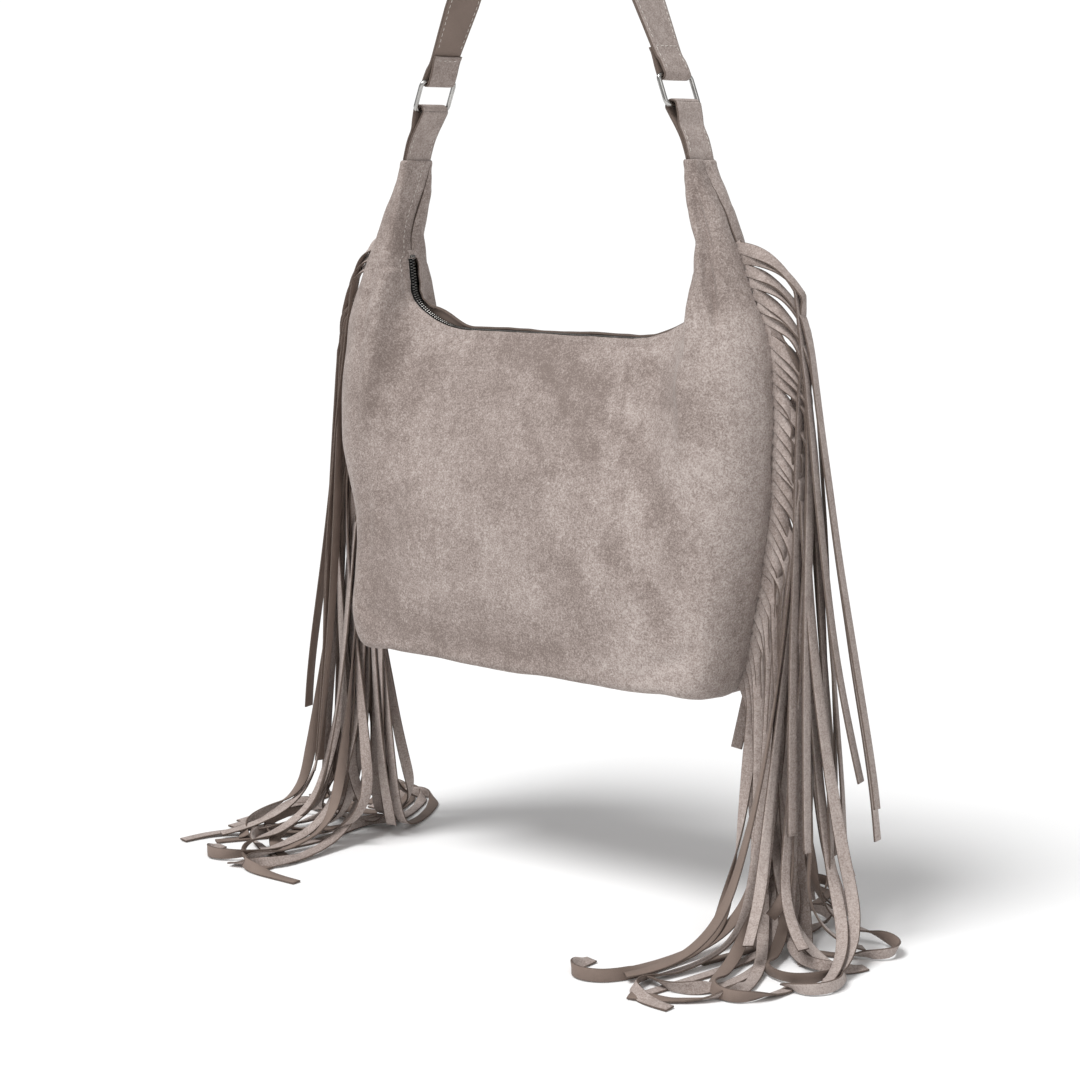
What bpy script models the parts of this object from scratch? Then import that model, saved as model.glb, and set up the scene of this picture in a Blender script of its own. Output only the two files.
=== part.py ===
"""Fringed suede shoulder bag, hanging from the top of its strap.

Frame: +Z up, +X to the bag's right, -Y to its front. The origin is the underside of the
strap's top, where a hook or a shoulder carries the bag, so the bag hangs below it.
All driving sizes are in centimetres, measured in the bag's own frame (height 0 at the
base, x 0 on the centre line), and are turned into metres by place().
"""

import math

import bmesh
import bpy
import numpy as np
from mathutils import Matrix, Vector

# ---------------------------------------------------------------- driving sizes, cm
HANG_Z = 59.0  # underside of the strap's top above the base
FLOOR_Z = -16.5  # where the longest strands lie, below the base
SUEDE = 0.15  # panel thickness
SEAM_GAP = 0.04  # half the gap kept between the two panels at their seams
TWIST = math.radians(12.0)  # the strap, rings and horn tops turn this far about Z
ZIP_Z = 23.1  # height of the straight run of the zip
ZIP_END_Z = 28.3  # top of the zip on each horn
STRAP_W = 2.9
STRAP_NECK = 2.34  # its width round a ring
STRAP_T = 0.24
TAB_W = 2.26
TAB_T = 0.15
RING_WIRE = 0.16  # wire radius
RING_IN_W = 2.56  # inside width of a ring
RING_LINK = 2.10  # bar centre to bar centre
RING_MID = (10.5, 39.5)  # ring centre, x and height
RING_LEAN = math.radians(20.5)
TAB_BEND = 0.36  # inside radius of a tab's bend, wide enough for the ring to rock
SLIDER_Z = 27.5  # height of the slider on the right horn, with the zip closed
SLIDER_L = 1.2
SLOT = 0.06  # half the gap between the two rows of teeth
PULL_L = 1.35

# Matched control points, from the centre line round to the horn's top, x and height.
# INNER is the panel's free edge (zip, then horn seam), FACE where the panel is deepest
# before it rounds away, OUTER the side and base seams.
INNER = [(0, 23.1), (2.4, 23.1), (4.8, 23.1), (7.2, 23.1), (8.95, 23.3), (10.5, 23.85),
         (11.8, 24.65), (12.45, 25.45), (12.6, 26.4), (12.72, 27.35), (12.84, 28.3),
         (12.75, 30.2), (12.35, 32.1), (11.98, 33.7), (11.82, 35.0)]
FACE = [(0, 1.2), (3.6, 1.2), (7.3, 1.2), (10.8, 1.3), (13.4, 1.9), (14.3, 5.0),
        (14.4, 9.5), (14.4, 14.5), (14.5, 19.0), (14.6, 22.6), (14.5, 25.6),
        (14.0, 28.9), (13.15, 31.5), (12.5, 33.5), (12.2, 35.0)]
OUTER = [(0, 0), (4.0, 0), (8.0, 0), (12.0, 0), (15.6, 0.05), (16.9, 4.3),
         (17.7, 9.3), (18.2, 14.5), (18.25, 19.2), (17.75, 23.6), (16.45, 26.9),
         (15.2, 29.7), (14.0, 32.2), (13.1, 33.8), (12.58, 35.0)]
DEPTH = [4.5, 4.5, 4.5, 4.45, 4.3, 4.35, 4.25, 4.3, 4.0, 3.45, 2.7, 1.9, 1.5, 1.42, 1.44]
EDGE_Y = [0.45, 0.45, 0.45, 0.45, 0.45, 0.45, 0.45, 0.45, 0.45, 0.45, 0.42,
          0.04, 0.04, 0.04, 0.04]
BULGE = [0.9, 0.9, 0.9, 0.8, 0.6, 0.4, 0.2, 0.15, 0, 0, 0, 0, 0, 0, 0]
HORN = [0, 0, 0, 0, 0, 0.1, 0.3, 0.5, 0.7, 0.85, 1, 1, 1, 1, 1]
BOX = [6.5, 6.5, 6.5, 5.5, 3.6, 2.7, 2.3, 2.1, 2.0, 2.0, 2.1, 2.3, 2.8, 4.5, 6.0]
HORN_BOX = 4.0  # how square a horn's section is


# ---------------------------------------------------------------- helpers
def smooth(table, u):
    """Catmull-Rom through a table of numbers or points, u from 0 to 1."""
    p = np.atleast_2d(np.array(table, float).T).T
    n = len(p) - 1
    x = np.clip(np.asarray(u, float) * n, 0, n)
    i = np.minimum(x.astype(int), n - 1)
    f = (x - i)[:, None]
    a, b, c, d = (p[np.clip(i + k, 0, n)] for k in (-1, 0, 1, 2))
    return 0.5 * (2 * b + (c - a) * f + (2 * a - 5 * b + 4 * c - d) * f**2
                  + (3 * b - a - 3 * c + d) * f**3)


def linear(table, u):
    """Straight lines through a table of numbers, u from 0 to 1."""
    t = np.array(table, float)
    return np.interp(np.asarray(u, float) * (len(t) - 1), np.arange(len(t)), t)


def place(p):
    """A point in bag centimetres to metres under the hanging point."""
    return Vector((p[0] * 0.01, p[1] * 0.01, (p[2] - HANG_Z) * 0.01))


def material(name, colour, rough, metal=0.0):
    m = bpy.data.materials.new(name)
    m.use_nodes = True
    b = m.node_tree.nodes["Principled BSDF"]
    b.inputs["Base Color"].default_value = (*colour, 1)
    b.inputs["Roughness"].default_value = rough
    b.inputs["Metallic"].default_value = metal
    return m


def keep(obj, mat):
    """Links a finished object to the bag's collection with its material."""
    if obj.name not in BAG.objects:
        BAG.objects.link(obj)
    for c in list(obj.users_collection):
        if c is not BAG:
            c.objects.unlink(obj)
    obj.data.materials.clear()
    obj.data.materials.append(mat)
    return obj


def new_object(name, data):
    o = bpy.data.objects.new(name, data)
    BAG.objects.link(o)
    return o


def sheet(name, columns, rows, outer, inner, mat):
    """A grid primitive laid on one computed surface and extruded to a second one."""
    mesh = bpy.data.meshes.new(name)
    bm = bmesh.new()
    bmesh.ops.create_grid(bm, x_segments=columns, y_segments=rows, size=0.5)
    first = {v: (round((v.co.x + 0.5) * columns), round((v.co.y + 0.5) * rows))
             for v in bm.verts}
    made = bmesh.ops.extrude_face_region(bm, geom=list(bm.faces))["geom"]
    second = [v for v in made if isinstance(v, bmesh.types.BMVert)]
    for v in second:
        ij = (round((v.co.x + 0.5) * columns), round((v.co.y + 0.5) * rows))
        v.co = inner(*ij)
    moved = set(second)
    for v, ij in first.items():
        if v not in moved:
            v.co = outer(*ij)
    bmesh.ops.recalc_face_normals(bm, faces=bm.faces)
    if bm.calc_volume(signed=True) < 0:
        bmesh.ops.reverse_faces(bm, faces=bm.faces)
    bm.to_mesh(mesh)
    bm.free()
    mesh.shade_smooth()
    return keep(new_object(name, mesh), mat)


def outline(name, loops, width, mat, y_mid=0.0, shear=True, scale=None):
    """A flat outline in the X-Z plane, extruded along Y and sheared by the twist.
    scale gives the width's share at a height."""
    cu = bpy.data.curves.new(name, "CURVE")
    cu.dimensions = "2D"
    cu.fill_mode = "BOTH"
    cu.extrude = width * 0.005
    for pts in loops:
        sp = cu.splines.new("POLY")
        sp.points.add(len(pts) - 1)
        for q, (x, z) in zip(sp.points, pts):
            q.co = (x * 0.01, (z - HANG_Z) * 0.01, 0, 1)
        sp.use_cyclic_u = True
    flat = new_object(name + "_flat", cu)
    bpy.context.view_layer.update()
    dg = bpy.context.evaluated_depsgraph_get()
    mesh = bpy.data.meshes.new_from_object(flat.evaluated_get(dg))
    bpy.data.objects.remove(flat)
    mesh.transform(Matrix.Rotation(math.pi / 2, 4, "X"))
    mesh.transform(Matrix.Translation((0, y_mid * 0.01, 0)))
    if scale:
        for v in mesh.vertices:
            v.co.y *= scale(v.co.z * 100 + HANG_Z)
    if shear:
        s = Matrix.Identity(4)
        s[0][1] = math.tan(TWIST)
        mesh.transform(s)
    bm = bmesh.new()
    bm.from_mesh(mesh)
    bmesh.ops.remove_doubles(bm, verts=bm.verts, dist=0.00002)
    bmesh.ops.recalc_face_normals(bm, faces=bm.faces)
    bm.to_mesh(mesh)
    bm.free()
    mesh.name = name
    return keep(new_object(name, mesh), mat)


def offset_line(pts, d):
    """A line's points moved d to its left in the X-Z plane."""
    p = np.array(pts, float)
    t = np.gradient(p, axis=0)
    t /= np.linalg.norm(t, axis=1)[:, None]
    return p + d * np.stack([-t[:, 1], t[:, 0]], 1)


def solid_box(bm, x, y, z):
    made = bmesh.ops.create_cube(bm, size=1.0)["verts"]
    for v in made:
        v.co = (x[0] + (v.co.x + 0.5) * (x[1] - x[0]), y[0] + (v.co.y + 0.5) * (y[1] - y[0]),
                z[0] + (v.co.z + 0.5) * (z[1] - z[0]))


def boxes_joined(name, boxes, mat, bevel=0.0, carry=None):
    """Box primitives joined by Boolean unions into one body, then carried into place."""
    parts = []
    for k, b in enumerate(boxes):
        mesh = bpy.data.meshes.new(f"{name}_{k}")
        bm = bmesh.new()
        solid_box(bm, *b)
        if not carry:
            for v in bm.verts:
                v.co = place(v.co)
        bm.to_mesh(mesh)
        bm.free()
        parts.append(new_object(f"{name}_{k}", mesh))
    base = parts[0]
    for p in parts[1:]:
        m = base.modifiers.new("join", "BOOLEAN")
        m.operation = "UNION"
        m.object = p
        m.solver = "EXACT"
    if bevel:
        m = base.modifiers.new("edge", "BEVEL")
        m.width = bevel * 0.01
        m.segments = 1
        m.limit_method = "ANGLE"
    bpy.context.view_layer.update()
    dg = bpy.context.evaluated_depsgraph_get()
    mesh = bpy.data.meshes.new_from_object(base.evaluated_get(dg))
    for p in parts:
        bpy.data.objects.remove(p)
    if carry:
        carry(mesh)
    mesh.name = name
    return keep(new_object(name, mesh), mat)


# ---------------------------------------------------------------- the bag's surface
def horn_axis(z):
    """Middle of a horn at a height, for its turn about the upright."""
    return float(np.interp(z, [28.3, 31.6, 35.0], [14.4, 13.3, 12.2]))


def profile(u):
    """Dense line over the front panel from its free edge to its seam, for one column."""
    one = np.array([u])
    (xi, zi), (xf, zf), (xo, zo) = (smooth(t, one)[0] for t in (INNER, FACE, OUTER))
    if u < 3 / 14:
        zi = ZIP_Z
    depth, edge, bulge, horn, box = (float(linear(t, one)[0])
                                     for t in (DEPTH, EDGE_Y, BULGE, HORN, BOX))
    a = np.linspace(0, 1, 60)
    across = (1 - horn) * a + horn * (1 - np.cos(a * math.pi / 2) ** (2 / HORN_BOX))
    deep = (1 - horn) * (1 - (1 - a) ** 2.2) + horn * np.sin(a * math.pi / 2) ** (2 / HORN_BOX)
    y = edge + (depth - edge) * deep + bulge * np.sin(math.pi * a)
    face = np.stack([xi + (xf - xi) * across, -y, zi + (zf - zi) * across], 1)
    b = np.linspace(0, math.pi / 2, 90)[1:]
    out = np.sin(b) ** (2 / box)
    y = depth * np.cos(b) ** (2 / box)
    side = np.stack([xf + (xo - xf) * out, -y, zf + (zo - zf) * out], 1)
    line = np.concatenate([face, side])
    line[:, 1] = np.minimum(line[:, 1], -SEAM_GAP)
    return line


def panel_point_line(u, left):
    """One column's line and the distance run along it, on the left or the right half."""
    line = profile(u) * ((-1, 1, 1) if left else (1, 1, 1))
    run = np.concatenate([[0], np.cumsum(np.linalg.norm(np.diff(line, axis=0), axis=1))])
    return line, run


def at(column, v):
    line, run = column
    return np.array([np.interp(v * run[-1], run, line[:, k]) for k in range(3)])


def turned(p):
    """The horns' tops turn with the strap."""
    t = min(1.0, max(0.0, (p[2] - 29.0) / 6.0))
    a = -TWIST * t * t * (3 - 2 * t)
    if a:
        side = 1 if p[0] > 0 else -1
        c = side * horn_axis(p[2])
        x, y = p[0] - c, p[1]
        p = np.array([c + x * math.cos(a) - y * math.sin(a),
                      x * math.sin(a) + y * math.cos(a), p[2]])
    return p


HALF = 28
ROWS = 20


def lattice(columns, rows, u_of, v_of):
    """The front panel's points and inward normals at a lattice of columns and rows."""
    e = 0.003
    pts, nor = {}, {}
    for i in range(columns + 1):
        left, u = u_of(i)
        lines = [panel_point_line(min(max(w, 0), 1), left) for w in (u - e, u, u + e)]
        for j in range(rows + 1):
            v = v_of(j)
            p = at(lines[1], v)
            du = at(lines[2], v) - at(lines[0], v)
            dv = at(lines[1], min(v + e, 1)) - at(lines[1], max(v - e, 0))
            n = np.cross(du, dv)
            n /= max(np.linalg.norm(n), 1e-9)
            if left:
                n = -n
            pts[i, j], nor[i, j] = p, n
    return pts, nor


def make_panels():
    pts, nor = lattice(2 * HALF, ROWS, lambda i: (i < HALF, abs(i - HALF) / HALF),
                       lambda j: j / ROWS)
    for name, s in (("front_panel", 1), ("back_panel", -1)):
        def outer(i, j, s=s):
            return place(turned(pts[i, j] * (1, s, 1)))

        def inner(i, j, s=s):
            q = pts[i, j] + nor[i, j] * SUEDE
            q[1] = min(q[1], -SEAM_GAP)
            return place(turned(q * (1, s, 1)))

        sheet(name, 2 * HALF, ROWS, outer, inner, SUEDE_MAT)


# ---------------------------------------------------------------- the lining
def make_lining():
    """One sewn inner bag that hangs just inside the panels, open along the zip."""
    rows, half = 11, 15
    low, high = 0.09, 1.0
    pts, nor = lattice(2 * half, rows,
                       lambda i: (i < half, abs(i - half) / half * 9.0 / 14),
                       lambda j: low + (high - low) * j / rows)

    def at_depth(inset):
        def where(i, j):
            k = j if j <= rows else 2 * rows - j
            q = pts[i, k] + nor[i, k] * inset
            q[1] = 0.0 if k == rows else min(q[1], -0.1)
            return place(q * (1, 1 if j <= rows else -1, 1))
        return where

    sheet("lining", 2 * half, 2 * rows, at_depth(0.34), at_depth(0.41), LINING_MAT)


# ---------------------------------------------------------------- the zip
def zip_line(n=44):
    """The zip's middle line, from the end on the left horn to the end on the right."""
    u = np.linspace(0, 10 / 14, 400)
    p = smooth(INNER, u)
    p[u < 3 / 14, 1] = ZIP_Z
    p = np.concatenate([(p * (-1, 1))[::-1], p[1:]])
    run = np.concatenate([[0], np.cumsum(np.linalg.norm(np.diff(p, axis=0), axis=1))])
    bend = run[-1] * 0.5 - 7.2
    at = np.concatenate([np.linspace(0, bend, 14), [run[-1] * 0.5],
                         np.linspace(run[-1] - bend, run[-1], 14)])
    return np.stack([np.interp(at, run, p[:, k]) for k in (0, 1)], 1)


def inward(line, d):
    """The zip's line moved d into the bag."""
    return offset_line(line, -d)


def make_zip():
    line = zip_line()
    n = len(line) - 1
    section = [(0.07, -0.02), (0.18, 0.0), (0.29, 0.3), (0.40, 0.6)]
    for name, side in (("zip_tape_front", -1), ("zip_tape_back", 1)):
        rows = [[(y + t, inward(line, d)) for y, d in section] for t in (0, 0.06)]

        def surface(t, side=side, rows=rows):
            def where(i, j):
                y, pts = rows[t][j]
                return place((pts[i][0], side * y, pts[i][1]))
            return where

        sheet(name, n, len(section) - 1, surface(0), surface(1), TAPE_MAT)
    top, low = inward(line, -0.20), inward(line, -0.085)
    band = [tuple(p) for p in top] + [tuple(p) for p in low[::-1]]
    outline("zip_teeth_front", [band], 0.19, TEETH_MAT, -(SLOT + 0.095), shear=False)
    outline("zip_teeth_back", [band], 0.19, TEETH_MAT, SLOT + 0.095, shear=False)

    # end stops: a small metal cramp over both tapes at each end of the teeth
    for name, s in (("zip_stop_left", -1), ("zip_stop_right", 1)):
        x, z = s * 12.84, ZIP_END_Z + 0.26
        boxes_joined(name, [((x - s * 0.26, x - s * 0.10)[::s], (-0.24, 0.24), (z - 0.13, z + 0.13))],
                     METAL_MAT, 0.03)


def zip_frame():
    """The slider's place on the zip, with the directions along and out of the zip."""
    low, high = np.array(INNER[8], float), np.array(INNER[10], float)
    along = (high - low) / np.linalg.norm(high - low)
    here = low + along * (SLIDER_Z - low[1]) / along[1]
    out = np.array([-along[1], along[0]])
    return here, along, out


def on_zip(mesh):
    """Carries a mesh from (along, across, out) centimetres onto the zip."""
    here, along, out = zip_frame()
    for v in mesh.vertices:
        a, y, b = v.co
        p = here + along * a + out * b
        v.co = place((p[0], y, p[1]))


def make_slider():
    """Two plates on a thin post that runs between the rows of teeth, and a bail."""
    h = SLIDER_L / 2
    boxes_joined("zip_slider", [
        ((-h, h), (-0.38, 0.38), (0.235, 0.335)),
        ((-h, h), (-0.38, -0.285), (0.09, 0.30)),
        ((-h, h), (0.285, 0.38), (0.09, 0.30)),
        ((0.25 - h, h - 0.25), (-0.028, 0.028), (-0.12, 0.30)),
        ((0.1 - h, h - 0.1), (-0.12, 0.12), (-0.16, -0.085)),
        ((-0.40, -0.30), (-0.07, 0.07), (0.30, 0.60)),
        ((0.30, 0.40), (-0.07, 0.07), (0.30, 0.60)),
        ((-0.40, 0.40), (-0.07, 0.07), (0.57, 0.67)),
    ], METAL_MAT, carry=on_zip)


def make_pull():
    """A flat tab whose end bar lies under the slider's bail, where it swings."""
    cu = bpy.data.curves.new("zip_pull", "CURVE")
    cu.dimensions = "2D"
    cu.fill_mode = "BOTH"
    cu.extrude = 0.0005
    body = []
    for y, a0 in ((0.10, 90), (-0.10, 0)):
        for k in range(5):
            a = math.radians(a0 - 22.5 * k)
            body.append((PULL_L - 0.22 + 0.22 * math.cos(a), y + 0.22 * math.sin(a)))
    body += [(0.75, -0.36), (-0.05, -0.25), (-0.05, 0.25), (0.75, 0.36)]
    eye = [(0.05, -0.13), (0.50, -0.17), (0.50, 0.17), (0.05, 0.13)]
    for pts in (body, eye):
        sp = cu.splines.new("POLY")
        sp.points.add(len(pts) - 1)
        for q, (x, y) in zip(sp.points, pts):
            q.co = (x * 0.01, y * 0.01, 0, 1)
        sp.use_cyclic_u = True
    flat = new_object("zip_pull_flat", cu)
    bpy.context.view_layer.update()
    mesh = bpy.data.meshes.new_from_object(
        flat.evaluated_get(bpy.context.evaluated_depsgraph_get()))
    bpy.data.objects.remove(flat)
    here, along, out = zip_frame()
    pivot = here + out * 0.45
    turn = Matrix(((-along[0], 0, out[0], 0), (0, 1, 0, 0), (-along[1], 0, out[1], 0),
                   (0, 0, 0, 1)))
    mesh.transform(turn)
    bm = bmesh.new()
    bm.from_mesh(mesh)
    bmesh.ops.remove_doubles(bm, verts=bm.verts, dist=0.00002)
    bmesh.ops.recalc_face_normals(bm, faces=bm.faces)
    bm.to_mesh(mesh)
    bm.free()
    mesh.name = "zip_pull"
    o = keep(new_object("zip_pull", mesh), METAL_MAT)
    o.location = place((pivot[0], 0, pivot[1]))


# ---------------------------------------------------------------- rings, tabs, strap
def ring_frame(side):
    """Ring centre, its upright direction and its bar direction, in bag centimetres."""
    mid = np.array([side * RING_MID[0], 0, RING_MID[1]])
    up = np.array([-side * math.sin(RING_LEAN), 0, math.cos(RING_LEAN)])
    bar = np.array([math.sin(TWIST), math.cos(TWIST), 0])
    return mid, up, bar


def make_ring(name, side):
    """A rounded rectangle of wire. Its origin is on its upper bar, where it rocks."""
    mid, up, bar = ring_frame(side)
    w, h, r = (RING_IN_W + 2 * RING_WIRE) / 2, RING_LINK / 2, 0.24
    path = []
    for cx, cz, a0 in ((w - r, h - r, 90), (w - r, -h + r, 0),
                       (-w + r, -h + r, -90), (-w + r, h - r, -180)):
        for k in range(6):
            a = math.radians(a0 - 18 * k)
            path.append((cx + r * math.cos(a), cz + r * math.sin(a)))
    pivot = mid + up * h
    cu = bpy.data.curves.new(name, "CURVE")
    cu.dimensions = "3D"
    cu.bevel_depth = RING_WIRE * 0.01
    cu.bevel_resolution = 3
    sp = cu.splines.new("POLY")
    sp.points.add(len(path) - 1)
    for q, (a, b) in zip(sp.points, path):
        p = (mid + bar * a + up * b - pivot) * 0.01
        q.co = (*p, 1)
    sp.use_cyclic_u = True
    o = keep(new_object(name, cu), METAL_MAT)
    o.location = place(pivot)


def make_tab(name, side):
    """One strip folded over the ring's lower bar, both legs going down into the horn."""
    mid, up, _ = ring_frame(side)
    bar = mid - up * RING_LINK / 2
    c = np.array([bar[0], bar[2]]) - 0.13 * np.array([up[0], up[2]])
    u = np.array([up[0], up[2]])
    n = np.array([u[1], -u[0]])  # towards +X
    foot = np.array([side * 12.2, 35.2])
    half_foot = 0.02
    lines = []
    for s in (1, -1):
        lines.append([
            c + s * n * TAB_BEND,
            c + s * n * (TAB_BEND * 0.86) - u * 0.8 + np.array([side * 0.05, 0]),
            foot + np.array([s * (half_foot + 0.10), 1.1]) - np.array([side * 0.36, 0]),
            foot + np.array([s * half_foot, 0.0]),
            foot + np.array([s * half_foot + side * 0.06, -0.45]),
            foot + np.array([s * half_foot + side * 0.24, -1.2]),
        ])
    arc = [c + TAB_BEND * (math.cos(a) * n + math.sin(a) * u)
           for a in np.linspace(0, math.pi, 11)]
    mids = [np.array(p) for p in lines[0][::-1]] + arc[1:-1] + [np.array(p) for p in lines[1]]
    inner = np.array(mids)
    outer = offset_line(inner, -TAB_T)
    outline(name, [[tuple(p) for p in inner] + [tuple(p) for p in outer[::-1]]],
            TAB_W * math.cos(TWIST), SUEDE_MAT)


def make_strap():
    """One folded strap from ring to ring, each end looped round a bar and sewn back."""
    mid, up, _ = ring_frame(1)
    bar = np.array([mid[0], mid[2]]) + np.array([up[0], up[2]]) * RING_LINK / 2
    u, n = np.array([up[0], up[2]]), np.array([up[2], -up[0]])
    # right half of the middle line, from above the loop to the top
    a = bar + u * 1.55
    rise = np.array([-0.405, 0.914])
    rise /= np.linalg.norm(rise)
    top_r = 2.7
    # straight run until the top's arc takes over
    ang0 = math.atan2(-rise[0], rise[1])
    cx, cz = 0.0, HANG_Z - top_r + 0.0
    end = np.array([cx + (top_r + STRAP_T / 2) * math.cos(ang0),
                    cz + (top_r + STRAP_T / 2) * math.sin(ang0)])
    run = [a + (end - a) * t for t in (0.0, 0.25, 0.5, 0.75)]
    arc = [np.array([cx + (top_r + STRAP_T / 2) * math.cos(t),
                     cz + (top_r + STRAP_T / 2) * math.sin(t)])
           for t in np.linspace(ang0, math.pi / 2, 7)]
    centre = np.array(run + arc)
    left_side = offset_line(centre, STRAP_T / 2)
    right_side = offset_line(centre, -STRAP_T / 2)  # outer face
    loop_r = RING_WIRE + 0.035
    out_r = loop_r + STRAP_T * 0.75
    outer = [tuple(p) for p in right_side]
    loop = [tuple(bar + out_r * (math.cos(t) * n + math.sin(t) * u))
            for t in np.linspace(math.radians(12), math.radians(-192), 13)]
    fold = STRAP_T * 0.85
    back_low = bar + u * 1.35 - n * (STRAP_T / 2 + fold)
    back_high = bar + u * 2.75 + (centre[1] - centre[0]) * 0 - n * 0
    # the folded end lies on the inner face, and stops in a square raw edge
    d = (centre[1] - centre[0]) / np.linalg.norm(centre[1] - centre[0])
    m = np.array([d[1], -d[0]])
    edge_at = centre[0] + d * 1.25
    edge_out = edge_at - m * (STRAP_T / 2 + fold)
    edge_in = edge_at - m * STRAP_T / 2
    inner = [tuple(p) for p in left_side if (p - edge_in) @ d > 0.05]
    right = (outer[::-1] + loop + [tuple(back_low), tuple(edge_out), tuple(edge_in)] + inner)
    # right runs: top outer, down, round the loop, up the folded end, up the inner face
    n_out = len(outer)
    out_top_to_loop = right[:n_out + len(loop)]
    back_to_top = right[n_out + len(loop):]
    mirror = lambda pts: [(-x, z) for x, z in pts]
    whole = out_top_to_loop + back_to_top + mirror(back_to_top[::-1][1:]) + \
        mirror(out_top_to_loop[::-1][:-1])
    hole = [tuple(bar + loop_r * (math.cos(t) * n + math.sin(t) * u))
            for t in np.linspace(0, math.radians(-180), 9)]
    hole += [tuple(bar - n * loop_r + u * 0.12), tuple(bar + u * 0.85 - n * 0.06),
             tuple(bar + u * 0.85), tuple(bar + n * loop_r + u * 0.12)]
    neck, bar_z = STRAP_NECK / STRAP_W, float(bar[1])
    outline("strap", [whole, hole, mirror(hole)], STRAP_W * math.cos(TWIST), SUEDE_MAT,
            scale=lambda z: float(np.interp(z - bar_z, [1.0, 5.0], [neck, 1.0])))


# ---------------------------------------------------------------- the fringes
# The two fringes are limp, so each is a plain closed envelope of its strands: where
# the strands leave the side seam, hang and lie. Rows: height, x inside and outside,
# y front and back, all for the right side.
FRINGE_R = [(29.2, 15.75, 16.8, -0.4, 0.4), (27.6, 16.55, 18.8, -1.1, 0.9),
            (25.0, 17.6, 20.6, -1.8, 1.3), (21.0, 18.35, 21.9, -2.4, 1.8),
            (15.5, 18.5, 22.8, -2.9, 2.3), (9.0, 18.0, 23.3, -3.4, 2.8),
            (3.0, 17.0, 23.6, -3.9, 3.4), (-1.2, 16.2, 23.8, -4.3, 3.9),
            (-6.0, 15.8, 24.0, -4.8, 4.6), (-10.5, 15.4, 24.4, -5.6, 5.6),
            (-13.3, 14.8, 25.2, -7.6, 7.8), (-15.2, 13.8, 26.2, -11.5, 11.5),
            (-16.1, 13.0, 26.8, -14.6, 14.6), (-16.5, 13.0, 26.8, -14.8, 14.8)]
FRINGE_L = [(29.2, 15.75, 16.7, -0.4, 0.4), (27.6, 16.45, 18.1, -0.9, 1.1),
            (25.0, 17.6, 19.4, -1.4, 1.8), (21.0, 18.4, 20.4, -1.9, 2.4),
            (15.5, 18.5, 21.0, -2.4, 2.9), (9.0, 18.0, 21.6, -2.9, 3.4),
            (3.0, 17.0, 22.1, -3.5, 3.9), (-1.2, 16.2, 22.6, -4.0, 4.3),
            (-6.0, 15.8, 23.3, -4.6, 4.9), (-10.5, 15.4, 24.4, -5.4, 6.0),
            (-13.3, 14.9, 26.0, -7.0, 8.0), (-15.2, 14.4, 27.6, -8.6, 10.2),
            (-16.1, 13.8, 28.4, -9.6, 11.4), (-16.5, 13.8, 28.4, -9.8, 11.6)]


def make_fringe(name, rows, side):
    """A loft of rounded sections down the rows, closed at both ends."""
    count = 16
    mesh = bpy.data.meshes.new(name)
    bm = bmesh.new()
    bmesh.ops.create_cone(bm, cap_ends=True, segments=count, radius1=1, radius2=1, depth=2)
    walls = [e for e in bm.edges if (e.verts[0].co.z > 0) != (e.verts[1].co.z > 0)]
    bmesh.ops.subdivide_edges(bm, edges=walls, cuts=len(rows) - 2)
    for v in bm.verts:
        a = math.atan2(v.co.y, v.co.x)
        level = round((1 - v.co.z) / 2 * (len(rows) - 1))
        z, xa, xb, ya, yb = rows[level]
        c, s = math.cos(a), math.sin(a)
        c, s = (math.copysign(abs(q) ** 0.75, q) for q in (c, s))
        x = (xa + xb) / 2 + (xb - xa) / 2 * c
        y = (ya + yb) / 2 + (yb - ya) / 2 * s
        v.co = place((side * x, y, z))
    if side < 0:
        bmesh.ops.reverse_faces(bm, faces=bm.faces)
    bm.to_mesh(mesh)
    bm.free()
    mesh.shade_smooth()
    keep(new_object(name, mesh), FRINGE_MAT)


# ---------------------------------------------------------------- build
for o in list(bpy.data.objects):
    bpy.data.objects.remove(o, do_unlink=True)
BAG = bpy.data.collections.new("fringed_suede_bag")
bpy.context.scene.collection.children.link(BAG)
SUEDE_MAT = material("suede", (0.42, 0.355, 0.33), 0.95)
FRINGE_MAT = material("fringe_suede", (0.36, 0.30, 0.275), 0.95)
LINING_MAT = material("lining_cloth", (0.02, 0.02, 0.02), 0.85)
TAPE_MAT = material("zip_tape", (0.012, 0.012, 0.013), 0.8)
TEETH_MAT = material("zip_teeth", (0.35, 0.35, 0.36), 0.35, 1.0)
METAL_MAT = material("nickel", (0.62, 0.60, 0.57), 0.22, 1.0)

make_panels()
make_lining()
make_zip()
make_slider()
make_pull()
make_ring("ring_right", 1)
make_ring("ring_left", -1)
make_tab("tab_right", 1)
make_tab("tab_left", -1)
make_strap()
make_fringe("fringe_right", FRINGE_R, 1)
make_fringe("fringe_left", FRINGE_L, -1)
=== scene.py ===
import math

import bmesh
import bpy
import numpy as np
from mathutils import Matrix, Vector


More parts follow.
